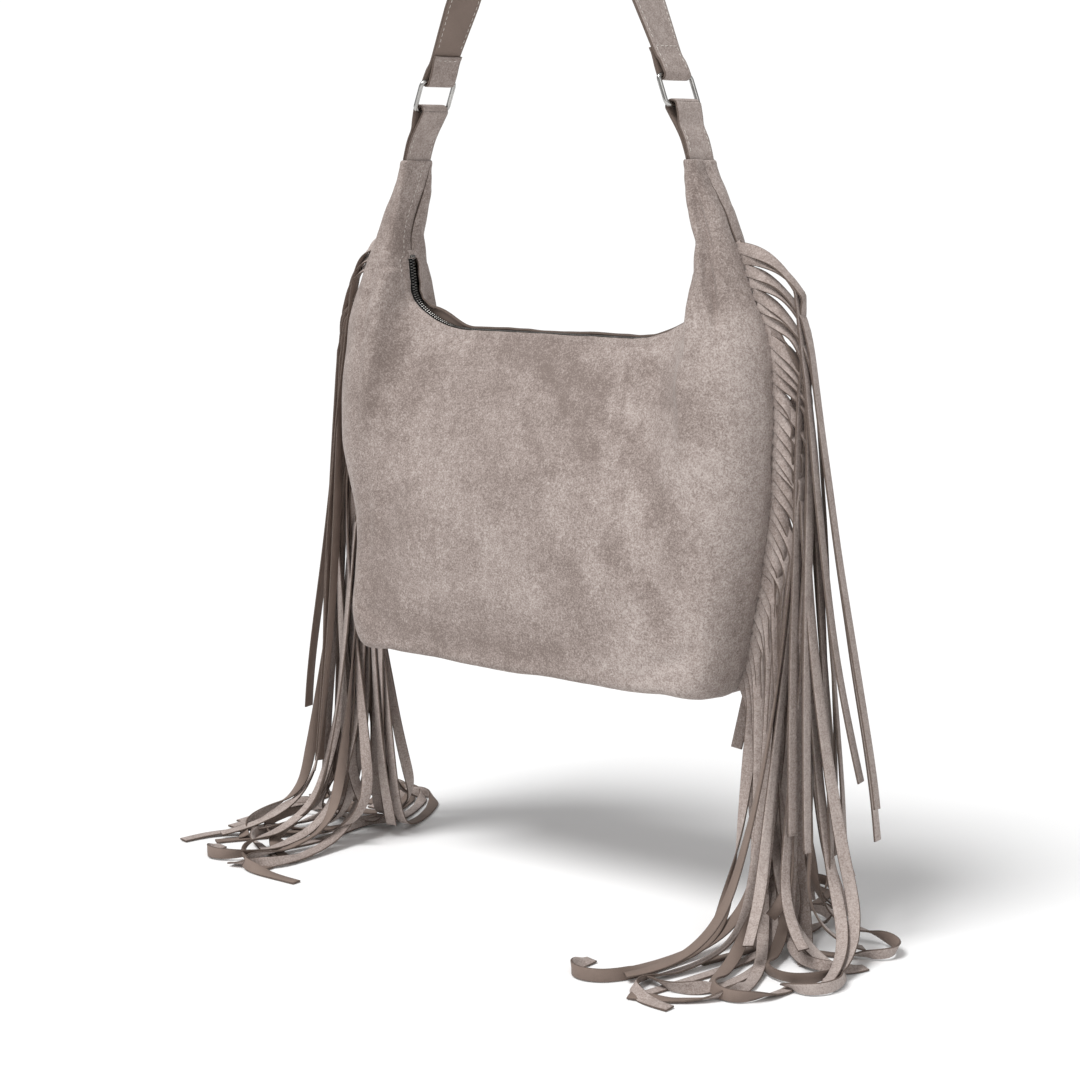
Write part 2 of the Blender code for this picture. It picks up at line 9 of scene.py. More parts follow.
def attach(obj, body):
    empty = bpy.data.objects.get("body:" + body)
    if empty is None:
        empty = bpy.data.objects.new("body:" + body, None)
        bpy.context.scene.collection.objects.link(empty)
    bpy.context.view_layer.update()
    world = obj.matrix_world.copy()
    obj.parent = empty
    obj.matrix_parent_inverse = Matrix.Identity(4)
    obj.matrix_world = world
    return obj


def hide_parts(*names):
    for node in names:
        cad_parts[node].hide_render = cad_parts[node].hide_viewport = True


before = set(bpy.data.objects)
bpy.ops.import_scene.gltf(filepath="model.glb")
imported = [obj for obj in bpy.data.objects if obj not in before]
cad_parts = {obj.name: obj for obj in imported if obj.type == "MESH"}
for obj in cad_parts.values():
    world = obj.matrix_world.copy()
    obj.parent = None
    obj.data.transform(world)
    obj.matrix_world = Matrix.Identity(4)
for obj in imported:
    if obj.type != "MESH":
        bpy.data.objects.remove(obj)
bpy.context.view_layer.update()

HANG_Z = 59.0
FLOOR_Z = -16.5
SUEDE_T = 0.15
SEAM_GAP = 0.04
TWIST = math.radians(12.0)
ZIP_Z = 23.1
ZIP_END_Z = 28.3
STRAP_W, STRAP_NECK, STRAP_T = 2.9, 2.34, 0.24
TAB_W, TAB_T, TAB_BEND = 2.26, 0.15, 0.36
RING_WIRE, RING_IN_W, RING_LINK = 0.16, 2.56, 2.10
RING_MID, RING_LEAN = (10.5, 39.5), math.radians(20.5)
HORN_BOX = 4.0
INNER = [(0, 23.1), (2.4, 23.1), (4.8, 23.1), (7.2, 23.1), (8.95, 23.3), (10.5, 23.85),
         (11.8, 24.65), (12.45, 25.45), (12.6, 26.4), (12.72, 27.35), (12.84, 28.3),
         (12.75, 30.2), (12.35, 32.1), (11.98, 33.7), (11.82, 35.0)]
FACE = [(0, 1.2), (3.6, 1.2), (7.3, 1.2), (10.8, 1.3), (13.4, 1.9), (14.3, 5.0),
        (14.4, 9.5), (14.4, 14.5), (14.5, 19.0), (14.6, 22.6), (14.5, 25.6),
        (14.0, 28.9), (13.15, 31.5), (12.5, 33.5), (12.2, 35.0)]
OUTER = [(0, 0), (4.0, 0), (8.0, 0), (12.0, 0), (15.6, 0.05), (16.9, 4.3),
         (17.7, 9.3), (18.2, 14.5), (18.25, 19.2), (17.75, 23.6), (16.45, 26.9),
         (15.2, 29.7), (14.0, 32.2), (13.1, 33.8), (12.58, 35.0)]
DEPTH = [4.5, 4.5, 4.5, 4.45, 4.3, 4.35, 4.25, 4.3, 4.0, 3.45, 2.7, 1.9, 1.5, 1.42, 1.44]
EDGE_Y = [0.45] * 10 + [0.42, 0.04, 0.04, 0.04, 0.04]
BULGE = [0.9, 0.9, 0.9, 0.8, 0.6, 0.4, 0.2, 0.15, 0, 0, 0, 0, 0, 0, 0]
HORN = [0, 0, 0, 0, 0, 0.1, 0.3, 0.5, 0.7, 0.85, 1, 1, 1, 1, 1]
BOX = [6.5, 6.5, 6.5, 5.5, 3.6, 2.7, 2.3, 2.1, 2.0, 2.0, 2.1, 2.3, 2.8, 4.5, 6.0]


# ------------------------------------------------------------------ camera
def place(p):
    """Points in bag centimetres to metres under the hanging point."""
    p = np.asarray(p, float)
    return np.stack([p[..., 0], p[..., 1], p[..., 2] - HANG_Z], -1) * 0.01


def make_camera():
    turn, pitch = math.radians(38.0), math.radians(9.03)
    right = Vector((math.cos(turn), math.sin(turn), 0))
    level = Vector((-math.sin(turn), math.cos(turn), 0))
    ahead = level * math.cos(pitch) - Vector((0, 0, math.sin(pitch)))
    up = right.cross(ahead)
    data = bpy.data.cameras.new("camera")
    data.sensor_width = 36.0
    data.lens = 77.233
    data.clip_end = 40.0
    cam = bpy.data.objects.new("camera", data)
    bpy.context.scene.collection.objects.link(cam)
    spot = -level * 161.0 + right * -0.8 + Vector((0, 0, 34.2))
    turn_to = Matrix((right, up, -ahead)).transposed().to_4x4()
    cam.matrix_world = Matrix.Translation(Vector(place(spot))) @ turn_to
    bpy.context.scene.camera = cam


make_camera()
bpy.context.scene.view_settings.view_transform = "Standard"


# ------------------------------------------------------------------ materials
class Nodes:
    """Small helper that adds and links shader nodes."""

    def __init__(self, name):
        self.mat = bpy.data.materials.new(name)
        self.mat.use_nodes = True
        self.tree = self.mat.node_tree
        self.bsdf = self.tree.nodes["Principled BSDF"]
        self.where = self.tree.nodes.new("ShaderNodeTexCoord").outputs["Object"]

    def new(self, kind, **props):
        n = self.tree.nodes.new(kind)
        for k, v in props.items():
            setattr(n, k, v)
        return n

    def link(self, a, b):
        self.tree.links.new(a, b)

    def scaled(self, stretch, turn=(0, 0, 0)):
        m = self.new("ShaderNodeMapping")
        m.inputs["Scale"].default_value = stretch
        m.inputs["Rotation"].default_value = turn
        self.link(self.where, m.inputs["Vector"])
        return m.outputs["Vector"]

    def noise(self, scale, detail=2.0, rough=0.5, distortion=0.0, at=None):
        n = self.new("ShaderNodeTexNoise")
        n.inputs["Scale"].default_value = scale
        n.inputs["Detail"].default_value = detail
        n.inputs["Roughness"].default_value = rough
        n.inputs["Distortion"].default_value = distortion
        self.link(at or self.where, n.inputs["Vector"])
        return n.outputs["Fac"]

    def math(self, op, a, b=None, c=None, clamp=False):
        n = self.new("ShaderNodeMath", operation=op, use_clamp=clamp)
        for k, v in enumerate((a, b, c)):
            if v is None:
                continue
            if hasattr(v, "links"):
                self.link(v, n.inputs[k])
            else:
                n.inputs[k].default_value = v
        return n.outputs[0]

    def spread(self, value, gain):
        """value about 0.5, moved to about 0 and scaled."""
        return self.math("MULTIPLY", self.math("SUBTRACT", value, 0.5), gain)

    def total(self, *values):
        out = values[0]
        for v in values[1:]:
            out = self.math("ADD", out, v)
        return out

    def ramp(self, fac, stops):
        n = self.new("ShaderNodeValToRGB")
        r = n.color_ramp
        while len(r.elements) < len(stops):
            r.elements.new(0.5)
        for e, (at, colour) in zip(r.elements, stops):
            e.position = at
            e.color = (*colour, 1)
        self.link(fac, n.inputs["Fac"])
        return n.outputs["Color"]

    def blend(self, fac, a, b, mode="MIX"):
        n = self.new("ShaderNodeMix", data_type="RGBA", blend_type=mode)
        for sock, v in ((n.inputs["Factor"], fac), (n.inputs[6], a), (n.inputs[7], b)):
            if hasattr(v, "links"):
                self.link(v, sock)
            elif isinstance(v, tuple):
                sock.default_value = (*v, 1)
            else:
                sock.default_value = v
        return n.outputs[2]

    def bump(self, height, strength, distance, under=None):
        n = self.new("ShaderNodeBump")
        n.inputs["Strength"].default_value = strength
        n.inputs["Distance"].default_value = distance
        self.link(height, n.inputs["Height"])
        if under:
            self.link(under, n.inputs["Normal"])
        return n.outputs["Normal"]

    def attribute(self, name):
        return self.new("ShaderNodeAttribute", attribute_name=name).outputs["Fac"]

    def colour(self, c):
        self.link(c, self.bsdf.inputs["Base Color"])

    def normal(self, n):
        self.link(n, self.bsdf.inputs["Normal"])

    def put(self, **values):
        for k, v in values.items():
            sock = self.bsdf.inputs[k.replace("_", " ")]
            if hasattr(v, "links"):
                self.link(v, sock)
            else:
                sock.default_value = v
        return self.mat


def suede(name, deep, mid, pale, patches=1.0, tone=None, tone_gain=0.55):
    """Napped suede: brushed patches, soft mottling and a fine grain of raised fibres."""
    m = Nodes(name)
    broad = m.noise(11.0, 3.0, 0.55, 0.9)
    brushed = m.noise(34.0, 3.0, 0.6, 1.4, m.scaled((1.0, 1.0, 0.55), (0.3, 0.2, 0.5)))
    mottle = m.noise(190.0, 3.0, 0.6, 0.4)
    grain = m.noise(820.0, 2.0, 0.75)
    fibre = m.noise(2300.0, 1.0, 0.6)
    f = m.total(m.spread(broad, 0.75 * patches), m.spread(brushed, 0.60 * patches),
                m.spread(mottle, 0.80), m.spread(grain, 2.1), m.spread(fibre, 1.0))
    f = m.math("ADD", f, 0.5)
    if tone:
        f = m.math("ADD", f, m.spread(m.attribute(tone), tone_gain))
    m.colour(m.ramp(f, [(0.0, deep), (0.5, mid), (1.0, pale)]))
    lay = m.bump(mottle, 0.22, 0.0016)
    lay = m.bump(grain, 0.55, 0.0006, lay)
    m.normal(m.bump(fibre, 0.35, 0.0003, lay))
    rough = m.math("MULTIPLY_ADD", grain, 0.14, 0.83)
    return m.put(Roughness=rough, Sheen_Weight=0.16, Sheen_Roughness=0.45,
                 Sheen_Tint=(1.0, 0.97, 0.95, 1), Specular_IOR_Level=0.12)


def backing(name):
    """The smooth brown underside of the cut suede."""
    m = Nodes(name)
    cloud = m.noise(45.0, 3.0, 0.6, 0.5)
    fine = m.noise(1500.0, 2.0, 0.6)
    f = m.math("ADD", m.total(m.spread(cloud, 0.7), m.spread(fine, 0.5)), 0.5)
    f = m.math("ADD", f, m.spread(m.attribute("tone"), 0.5))
    m.colour(m.ramp(f, [(0.0, (0.150, 0.112, 0.092)), (0.5, (0.205, 0.155, 0.130)),
                        (1.0, (0.262, 0.203, 0.172))]))
    m.normal(m.bump(fine, 0.18, 0.0002))
    return m.put(Roughness=m.math("MULTIPLY_ADD", cloud, 0.12, 0.66),
                 Specular_IOR_Level=0.25, Sheen_Weight=0.05)


def cut_edge(name):
    m = Nodes(name)
    fine = m.noise(1300.0, 2.0, 0.7)
    m.colour(m.ramp(fine, [(0.25, (0.085, 0.064, 0.054)), (0.75, (0.190, 0.148, 0.126))]))
    m.normal(m.bump(fine, 0.5, 0.0003))
    return m.put(Roughness=m.math("MULTIPLY_ADD", fine, 0.1, 0.86), Specular_IOR_Level=0.15)


def thread(name, pale, dark):
    """Twisted sewing thread."""
    m = Nodes(name)
    w = m.new("ShaderNodeTexWave", wave_type="BANDS", bands_direction="DIAGONAL")
    w.inputs["Scale"].default_value = 620.0
    w.inputs["Distortion"].default_value = 1.2
    m.link(m.where, w.inputs["Vector"])
    m.colour(m.ramp(w.outputs["Fac"], [(0.1, dark), (0.8, pale)]))
    m.normal(m.bump(w.outputs["Fac"], 0.4, 0.0002))
    return m.put(Roughness=m.math("MULTIPLY_ADD", w.outputs["Fac"], 0.1, 0.62), Sheen_Weight=0.1)


def nickel(name):
    """Worn nickel plate: faint rubbed clouds, hairline scratches and a soft dulling."""
    m = Nodes(name)
    cloud = m.noise(130.0, 3.0, 0.6)
    hair = m.noise(420.0, 3.0, 0.7, 0.0, m.scaled((1.0, 7.0, 1.4), (0.4, 0.2, 0.9)))
    m.colour(m.ramp(cloud, [(0.25, (0.33, 0.32, 0.31)), (0.8, (0.56, 0.55, 0.53))]))
    m.normal(m.bump(hair, 0.16, 0.00012))
    rough = m.total(m.math("MULTIPLY_ADD", cloud, 0.14, 0.14), m.spread(hair, 0.12))
    return m.put(Metallic=1.0, Roughness=rough)


def woven(name, dark, pale, scale, rough=0.85):
    """A plain weave of crossed yarns, with the odd lighter one."""
    m = Nodes(name)
    bands = []
    for way in ("X", "Z"):
        w = m.new("ShaderNodeTexWave", wave_type="BANDS", bands_direction=way)
        w.inputs["Scale"].default_value = scale
        w.inputs["Distortion"].default_value = 0.5
        w.inputs["Detail"].default_value = 1.0
        m.link(m.where, w.inputs["Vector"])
        bands.append(w.outputs["Fac"])
    cloth = m.math("MULTIPLY", bands[0], bands[1])
    cloud = m.noise(90.0, 2.0)
    f = m.math("ADD", cloth, m.spread(cloud, 0.5))
    m.colour(m.ramp(f, [(0.05, dark), (0.9, pale)]))
    m.normal(m.bump(cloth, 0.5, 0.0003))
    return m.put(Roughness=m.math("MULTIPLY_ADD", cloth, 0.08, rough), Sheen_Weight=0.15)


def moulded(name):
    """Zip teeth: dark grey metal, brighter where the slider rubs."""
    m = Nodes(name)
    cloud = m.noise(700.0, 2.0, 0.6)
    m.colour(m.ramp(cloud, [(0.3, (0.13, 0.125, 0.12)), (0.75, (0.42, 0.41, 0.39))]))
    m.normal(m.bump(cloud, 0.2, 0.0001))
    return m.put(Metallic=1.0, Roughness=m.math("MULTIPLY_ADD", cloud, 0.2, 0.26))


SUEDE = suede("suede", (0.235, 0.190, 0.170), (0.345, 0.287, 0.262), (0.475, 0.412, 0.382))
PANEL_SUEDE = suede("panel_suede", (0.205, 0.163, 0.145), (0.345, 0.287, 0.262),
                    (0.520, 0.455, 0.425), patches=0.45, tone="tone", tone_gain=1.15)
STRAND = suede("fringe_suede", (0.245, 0.197, 0.175), (0.375, 0.312, 0.285),
               (0.495, 0.430, 0.398), patches=0.55, tone="tone")
BACK = backing("suede_backing")
EDGE = cut_edge("cut_edge")
THREAD = thread("thread", (0.80, 0.76, 0.70), (0.50, 0.46, 0.42))
NICKEL = nickel("nickel")
DARK_METAL = moulded("dark_metal")
TAPE = woven("zip_tape", (0.006, 0.006, 0.007), (0.030, 0.029, 0.030), 900.0)
LINING = woven("lining_cloth", (0.010, 0.009, 0.009), (0.040, 0.036, 0.034), 700.0)
TEETH = moulded("zip_teeth")


# ------------------------------------------------------------------ mesh helpers
def smooth(table, u):
    """Catmull-Rom through a table of points, u from 0 to 1."""
    p = np.array(table, float)
    n = len(p) - 1
    x = np.clip(np.asarray(u, float) * n, 0, n)
    i = np.minimum(x.astype(int), n - 1)
    f = (x - i)[:, None]
    a, b, c, d = (p[np.clip(i + k, 0, n)] for k in (-1, 0, 1, 2))
    return 0.5 * (2 * b + (c - a) * f + (2 * a - 5 * b + 4 * c - d) * f**2
                  + (3 * b - a - 3 * c + d) * f**3)


def linear(table, u):
    return float(np.interp(u * (len(table) - 1), np.arange(len(table)), table))


def unit(v):
    return v / np.maximum(np.linalg.norm(v, axis=-1, keepdims=True), 1e-9)


def mesh_object(name, verts, faces, mats, pick=None, smooth_faces=True, tone=None):
    """A mesh from points in metres; pick gives each face's material."""
    me = bpy.data.meshes.new(name)
    me.from_pydata([tuple(v) for v in verts], [], [tuple(int(i) for i in f) for f in faces])
    for m in mats:
        me.materials.append(m)
    if pick is not None:
        me.polygons.foreach_set("material_index", np.asarray(pick, np.int32))
    if smooth_faces:
        me.shade_smooth()
    if tone is not None:
        at = me.attributes.new("tone", "FLOAT", "POINT")
        at.data.foreach_set("value", np.asarray(tone, np.float32))
    me.update()
    o = bpy.data.objects.new(name, me)
    bpy.context.scene.collection.objects.link(o)
    return o


def grid_faces(rows, cols, first=0, turn=False):
    """Quads of a rows x cols lattice of points."""
    i, j = np.meshgrid(np.arange(rows - 1), np.arange(cols - 1), indexing="ij")
    a = first + i * cols + j
    q = np.stack([a, a + cols, a + cols + 1, a + 1], -1).reshape(-1, 4)
    return q[:, ::-1] if turn else q


def face_outward(o):
    """Turns the faces out, if the closed mesh came out inside out."""
    bm = bmesh.new()
    bm.from_mesh(o.data)
    if bm.calc_volume(signed=True) < 0:
        bmesh.ops.reverse_faces(bm, faces=bm.faces)
        bm.to_mesh(o.data)
    bm.free()
    return o


def resample(pts, step=None, n=None):
    """Points of a line spaced evenly, with their distance along it."""
    pts = np.asarray(pts, float)
    run = np.concatenate([[0], np.cumsum(np.linalg.norm(np.diff(pts, axis=0), axis=1))])
    n = n or max(2, int(round(run[-1] / step)) + 1)
    s = np.linspace(0, run[-1], n)
    return np.stack([np.interp(s, run, pts[:, k]) for k in range(pts.shape[1])], 1), s


def spline(pts, per=8):
    pts = np.asarray(pts, float)
    return smooth(pts, np.linspace(0, 1, (len(pts) - 1) * per + 1))


def waves(p, seed, length, count=9, ways=None):
    """A smooth made-up height field over points, about -1 to 1."""
    rng = np.random.default_rng(seed)
    out = np.zeros(p.shape[:-1])
    for _ in range(count):
        d = unit(rng.normal(size=p.shape[-1]))
        k = 2 * math.pi / (length * rng.uniform(0.75, 1.4))
        out += np.sin(p @ d * k + rng.uniform(0, 2 * math.pi))
    return out / math.sqrt(count) / 1.3


# ------------------------------------------------------------------ the two panels
def profile(u):
    """Dense line over the front panel from its free edge to its seam, for one column."""
    one = np.array([u])
    (xi, zi), (xf, zf), (xo, zo) = (smooth(t, one)[0] for t in (INNER, FACE, OUTER))
    if u < 3 / 14:
        zi = ZIP_Z
    depth, edge, bulge, horn, box = (linear(t, u) for t in (DEPTH, EDGE_Y, BULGE, HORN, BOX))
    a = np.linspace(0, 1, 60)
    square = linear([2.7] * 12 + [2.9, 3.5, 4.0], u)
    z_edge = ZIP_END_Z + 0.05
    if zi > z_edge - 0.35:
        edge = max(0.02, edge * float(np.clip((z_edge - zi) / 0.35, 0, 1)))
    elif u > 0.5:
        edge = 0.45
    across = (1 - horn) * a + horn * (1 - np.cos(a * math.pi / 2) ** (2 / square))
    deep = (1 - horn) * (1 - (1 - a) ** 2.2) + horn * np.sin(a * math.pi / 2) ** (2 / square)
    y = edge + (depth - edge) * deep + bulge * np.sin(math.pi * a)
    face = np.stack([xi + (xf - xi) * across, -y, zi + (zf - zi) * across], 1)
    b = np.linspace(0, math.pi / 2, 120)[1:]
    out = np.sin(b) ** (2 / box)
    side = np.stack([xf + (xo - xf) * out, -depth * np.cos(b) ** (2 / box),
                     zf + (zo - zf) * out], 1)
    line = np.concatenate([face, side])
    line[:, 1] = np.minimum(line[:, 1], -0.014)
    return line


def seam_shift(u):
    """How far the front panel's edge reaches round the left horn's inner side, cm."""
    z = smooth(INNER, np.array([abs(u)]))[0, 1]
    return float(np.interp(z, [29.6, 31.5, 35.0], [0.0, 0.35, 1.25])) if u < 0 and abs(u) > 0.7 else 0.0


def lattice(us, ts, front):
    """Points over one panel: columns us from -1 to 1, rows ts from the free edge to the seam."""
    pts = np.zeros((len(us), len(ts), 3))
    for i, u in enumerate(us):
        line = profile(abs(u)) * ((-1, 1, 1) if u < 0 else (1, 1, 1))
        run = np.concatenate([[0], np.cumsum(np.linalg.norm(np.diff(line, axis=0), axis=1))])
        v0 = seam_shift(u) / run[-1] * (-1 if front else 1)
        v = v0 + (1 - v0) * ts
        at = np.abs(v) * run[-1]
        p = np.stack([np.interp(at, run, line[:, k]) for k in range(3)], 1)
        p[v < 0, 1] *= -1
        if not front:
            p[:, 1] *= -1
        pts[i] = p
    return pts


def normals_of(g, outward):
    """Unit normals of a lattice, turned to the side that outward says."""
    n = unit(np.cross(np.gradient(g, axis=0), np.gradient(g, axis=1)))
    n = np.where(np.isfinite(n), n, 0)
    return n * outward


def near_line(p, line):
    """Distance from points to a line in the x-z plane, and the share run along it."""
    line = np.asarray(line, float)
    seg = np.linalg.norm(np.diff(line, axis=0), axis=1)
    run = np.concatenate([[0], np.cumsum(seg)])
    best, share, side = np.full(p.shape[:-1], 1e9), np.zeros(p.shape[:-1]), np.zeros(p.shape[:-1])
    for k in range(len(seg)):
        a, d = line[k], (line[k + 1] - line[k]) / seg[k]
        t = np.clip((p - a) @ d, 0, seg[k])
        q = p - (a + t[..., None] * d)
        l = np.linalg.norm(q, axis=-1)
        hit = l < best
        best = np.where(hit, l, best)
        share = np.where(hit, (run[k] + t) / run[-1], share)
        side = np.where(hit, q[..., 0] * d[1] - q[..., 1] * d[0], side)
    return best, share, side


def fold(p, line, width, depth, lip=0.0, lip_at=1.6):
    """A crease along a line with a lip on one side, fading at both ends."""
    dist, share, side = near_line(p, line)
    fade = np.sin(np.pi * np.clip(share, 0, 1)) ** 0.6
    end = np.where((share <= 0) | (share >= 1), 0.0, 1.0)
    out = -depth * np.exp(-(dist / width) ** 2)
    out += lip * np.exp(-((side - lip_at * width) / (1.25 * width)) ** 2) * (np.abs(side) > 0.7 * dist)
    return out * fade * end


FOLDS = [  # line in the x-z plane, width, depth, lip
    ([(-15.0, 26.3), (-14.6, 26.95), (-14.0, 27.3), (-13.3, 27.45), (-12.7, 27.4)], 0.24, 0.20, 0.13),
    ([(-13.9, 26.6), (-14.3, 25.2), (-14.6, 23.6), (-14.7, 22.0)], 0.40, 0.10, 0.06),
    ([(-10.8, 23.2), (-11.05, 22.4), (-11.4, 21.2), (-11.6, 20.0), (-11.7, 18.6)], 0.75, 0.22, 0.0),
    ([(13.0, 33.2), (13.2, 32.1), (13.6, 31.0), (14.2, 29.6), (14.6, 28.6)], 0.30, 0.46, 0.30),
    ([(13.7, 29.7), (14.1, 28.6), (14.7, 27.0), (15.3, 25.3), (15.7, 24.0)], 0.34, 0.48, 0.30),
    ([(12.5, 34.3), (12.9, 33.2), (13.5, 31.9)], 0.26, 0.12, 0.14),
    ([(-13.2, 32.8), (-13.6, 31.6), (-14.2, 30.4), (-14.6, 29.2)], 0.30, 0.14, 0.10),
    ([(12.2, 24.6), (12.9, 23.2), (13.8, 21.4), (14.4, 19.6)], 0.55, 0.13, 0.10),
    ([(-13.0, 24.9), (-13.8, 23.6), (-14.6, 22.0)], 0.45, 0.12, 0.09),
    ([(9.4, 22.6), (9.9, 21.4), (10.8, 19.9)], 0.6, 0.10, 0.07),
    ([(-6.3, 22.6), (-6.0, 21.2), (-5.4, 19.6)], 0.7, 0.07, 0.05),
    ([(3.6, 22.5), (3.3, 21.4), (2.6, 20.2)], 0.6, 0.06, 0.04),
    ([(-15.6, 3.4), (-13.6, 2.6), (-11.6, 2.3)], 0.5, 0.12, 0.10),
    ([(15.6, 3.6), (13.8, 2.5), (11.4, 2.1)], 0.5, 0.12, 0.10),
]


def sagged(p):
    """The base hangs a little low in the middle, and the left front corner is slack."""
    p = p.copy()
    x, y, z = p[..., 0], p[..., 1], p[..., 2]
    low = np.clip(1 - z / 6.5, 0, 1) ** 2
    p[..., 2] = z - 0.42 * low * np.clip(1 - (np.abs(x) / 17.0) ** 4, 0, 1) * (0.85 + 0.15 * np.cos(x * 0.55 + 0.8))
    front = np.clip(-y / 3.2, 0, 1)
    corner = np.exp(-((z - 8.2) / 4.6) ** 2) * np.clip((-x - 9.0) / 5.4, 0, 1) * front
    p[..., 0] += 0.85 * corner
    p[..., 1] += 0.30 * corner
    right = np.exp(-((z - 6.0) / 3.6) ** 2) * np.clip((x - 11.0) / 5.0, 0, 1) * front
    p[..., 0] -= 0.35 * right
    return p


def relief(p, us, ts, runs, front):
    """Height of folds, puckers and soft waves over a panel."""
    seed = 4 if front else 40
    flat = p * (1.0, 0.6, 1.0)
    d = 0.085 * waves(flat, seed, 10.5) + 0.040 * waves(flat, seed + 1, 4.6) \
        + 0.014 * waves(flat, seed + 2, 1.9) + 0.006 * waves(flat, seed + 3, 0.85)
    xz = p[..., (0, 2)]
    if not front:
        xz = xz * (-1, 1)
    for line, width, depth, lip in FOLDS:
        k = 1.0 if front else 0.75
        d += fold(xz, line, width, depth * k, lip * k)
    from_free = runs
    from_seam = runs[:, -1:] - runs
    along = (us * 40.0)[:, None]
    d += -0.028 * np.exp(-(from_seam / 0.16) ** 2) + 0.05 * np.exp(-((from_seam - 0.8) / 0.45) ** 2)
    d += 0.028 * np.sin(along * 2.9 + 1.3 * np.sin(along * 0.7)) * np.exp(-(from_seam / 0.75) ** 2)
    horn = np.clip((np.abs(us) - 0.70) / 0.05, 0, 1)[:, None]
    d += horn * (-0.05 * np.exp(-(from_free / 0.20) ** 2) + 0.035 * np.exp(-((from_free - 0.75) / 0.35) ** 2))
    top = np.clip((1 - np.abs(us)) / 0.05, 0, 1)[:, None]
    d += 0.03 * np.sin(np.pi * np.clip(top * 1.6, 0, 1)) - 0.06 * (1 - np.clip(top * 5, 0, 1)) ** 2
    d += 0.035 * np.sin(runs * 2.6 + 1.0) * (1 - top)
    zip_edge = 1 - horn
    d += zip_edge * (0.045 * np.exp(-((from_free - 0.30) / 0.22) ** 2) - 0.035 * np.exp(-((from_free - 0.62) / 0.16) ** 2))
    d += zip_edge * 0.022 * np.sin(along * 2.1 + 1.7 * np.sin(along * 0.45 + 2)) * np.exp(-(from_free / 1.2) ** 2)
    return d


def turned(p):
    """The horns' tops turn with the strap."""
    t = np.clip((p[..., 2] - 29.0) / 6.0, 0, 1)
    a = -TWIST * t * t * (3 - 2 * t)
    c = np.sign(p[..., 0]) * np.interp(p[..., 2], [28.3, 31.6, 35.0], [14.4, 13.3, 12.2])
    x, y = p[..., 0] - c, p[..., 1]
    return np.stack([c + x * np.cos(a) - y * np.sin(a), x * np.sin(a) + y * np.cos(a),
                     p[..., 2]], -1)


def panel_surface(columns, rows, front):
    """The shaped outer surface of one panel, its outward normals and its row distances."""
    s = np.linspace(-1, 1, columns)
    t = np.linspace(0, 1, rows)
    t = t - 0.085 * np.sin(2 * math.pi * t)
    g = lattice(s, t, front)
    step = np.linalg.norm(np.diff(g, axis=1), axis=2)
    runs = np.concatenate([np.zeros((columns, 1)), np.cumsum(step, axis=1)], 1)
    out = -1.0 if front else 1.0
    n = normals_of(g, 1.0)
    mid = n[columns // 2, rows // 2, 1]
    n = n * (out * np.sign(mid))
    g = sagged(g) + n * relief(g, s, t, runs, front)[..., None]
    if front:  # keep clear of the back panel, except where the left horn's edge wraps round
        hold = np.array([seam_shift(u) == 0 for u in s])[:, None] | (t > 0.3)[None, :]
        g[..., 1] = np.where(hold, np.minimum(g[..., 1], -0.012), g[..., 1])
    else:
        g[..., 1] = np.maximum(g[..., 1], 0.012)
        # its turned edge stands a little above the zip, most at the left corner
        e = g[:, 0]
        way = unit(np.stack([-np.gradient(e[:, 2]), np.gradient(e[:, 0])], 1))
        tall = 0.20 + 0.50 * np.exp(-((e[:, 0] + 10.1) / 1.5) ** 2) + 0.10 * np.exp(-((e[:, 0] - 10.1) / 1.5) ** 2)
        tall = (tall * np.clip((0.735 - np.abs(s)) / 0.06, 0, 1))[:, None] * np.exp(-(runs / 0.9) ** 2)
        g[..., 0] += way[:, :1] * tall
        g[..., 2] += way[:, 1:] * tall
    top = np.clip((g[..., 2] - 31.5) / 3.5, 0, 1) ** 1.5
    mid_x = np.sign(g[..., 0]) * 12.39
    g[..., 0] = mid_x + (g[..., 0] - mid_x) * (1 - 0.13 * top)
    g[..., 1] *= 1 - 0.10 * top
    n2 = normals_of(g, 1.0)
    n2 = n2 * (out * np.sign(n2[columns // 2, rows // 2, 1]))
    return g, n2, runs, s, t


def shell(name, outer, inner, mats, flip, tone=None):
    """Two lattices joined round their rim into one closed sheet."""
    c, r = outer.shape[:2]
    verts = np.concatenate([outer.reshape(-1, 3), inner.reshape(-1, 3)])
    n = c * r
    faces = [grid_faces(c, r, 0, flip), grid_faces(c, r, n, not flip)]
    pick = [np.zeros(len(faces[0])), np.ones(len(faces[1]))]
    i, j = np.arange(c - 1), np.arange(r - 1)
    rim = [np.stack([i * r, n + i * r, n + (i + 1) * r, (i + 1) * r], 1),
           np.stack([(i + 1) * r + r - 1, n + (i + 1) * r + r - 1, n + i * r + r - 1, i * r + r - 1], 1),
           np.stack([j + 1, n + j + 1, n + j, j], 1),
           np.stack([(c - 1) * r + j, n + (c - 1) * r + j, n + (c - 1) * r + j + 1, (c - 1) * r + j + 1], 1)]
    for q in rim:
        faces.append(q[:, ::-1] if flip else q)
        pick.append(np.full(len(q), 2))
    o = mesh_object(name, verts, np.concatenate(faces), mats, np.concatenate(pick),
                    tone=np.full(len(verts), 0.5) if tone is None else np.tile(tone.reshape(-1), 2))
    return face_outward(o)


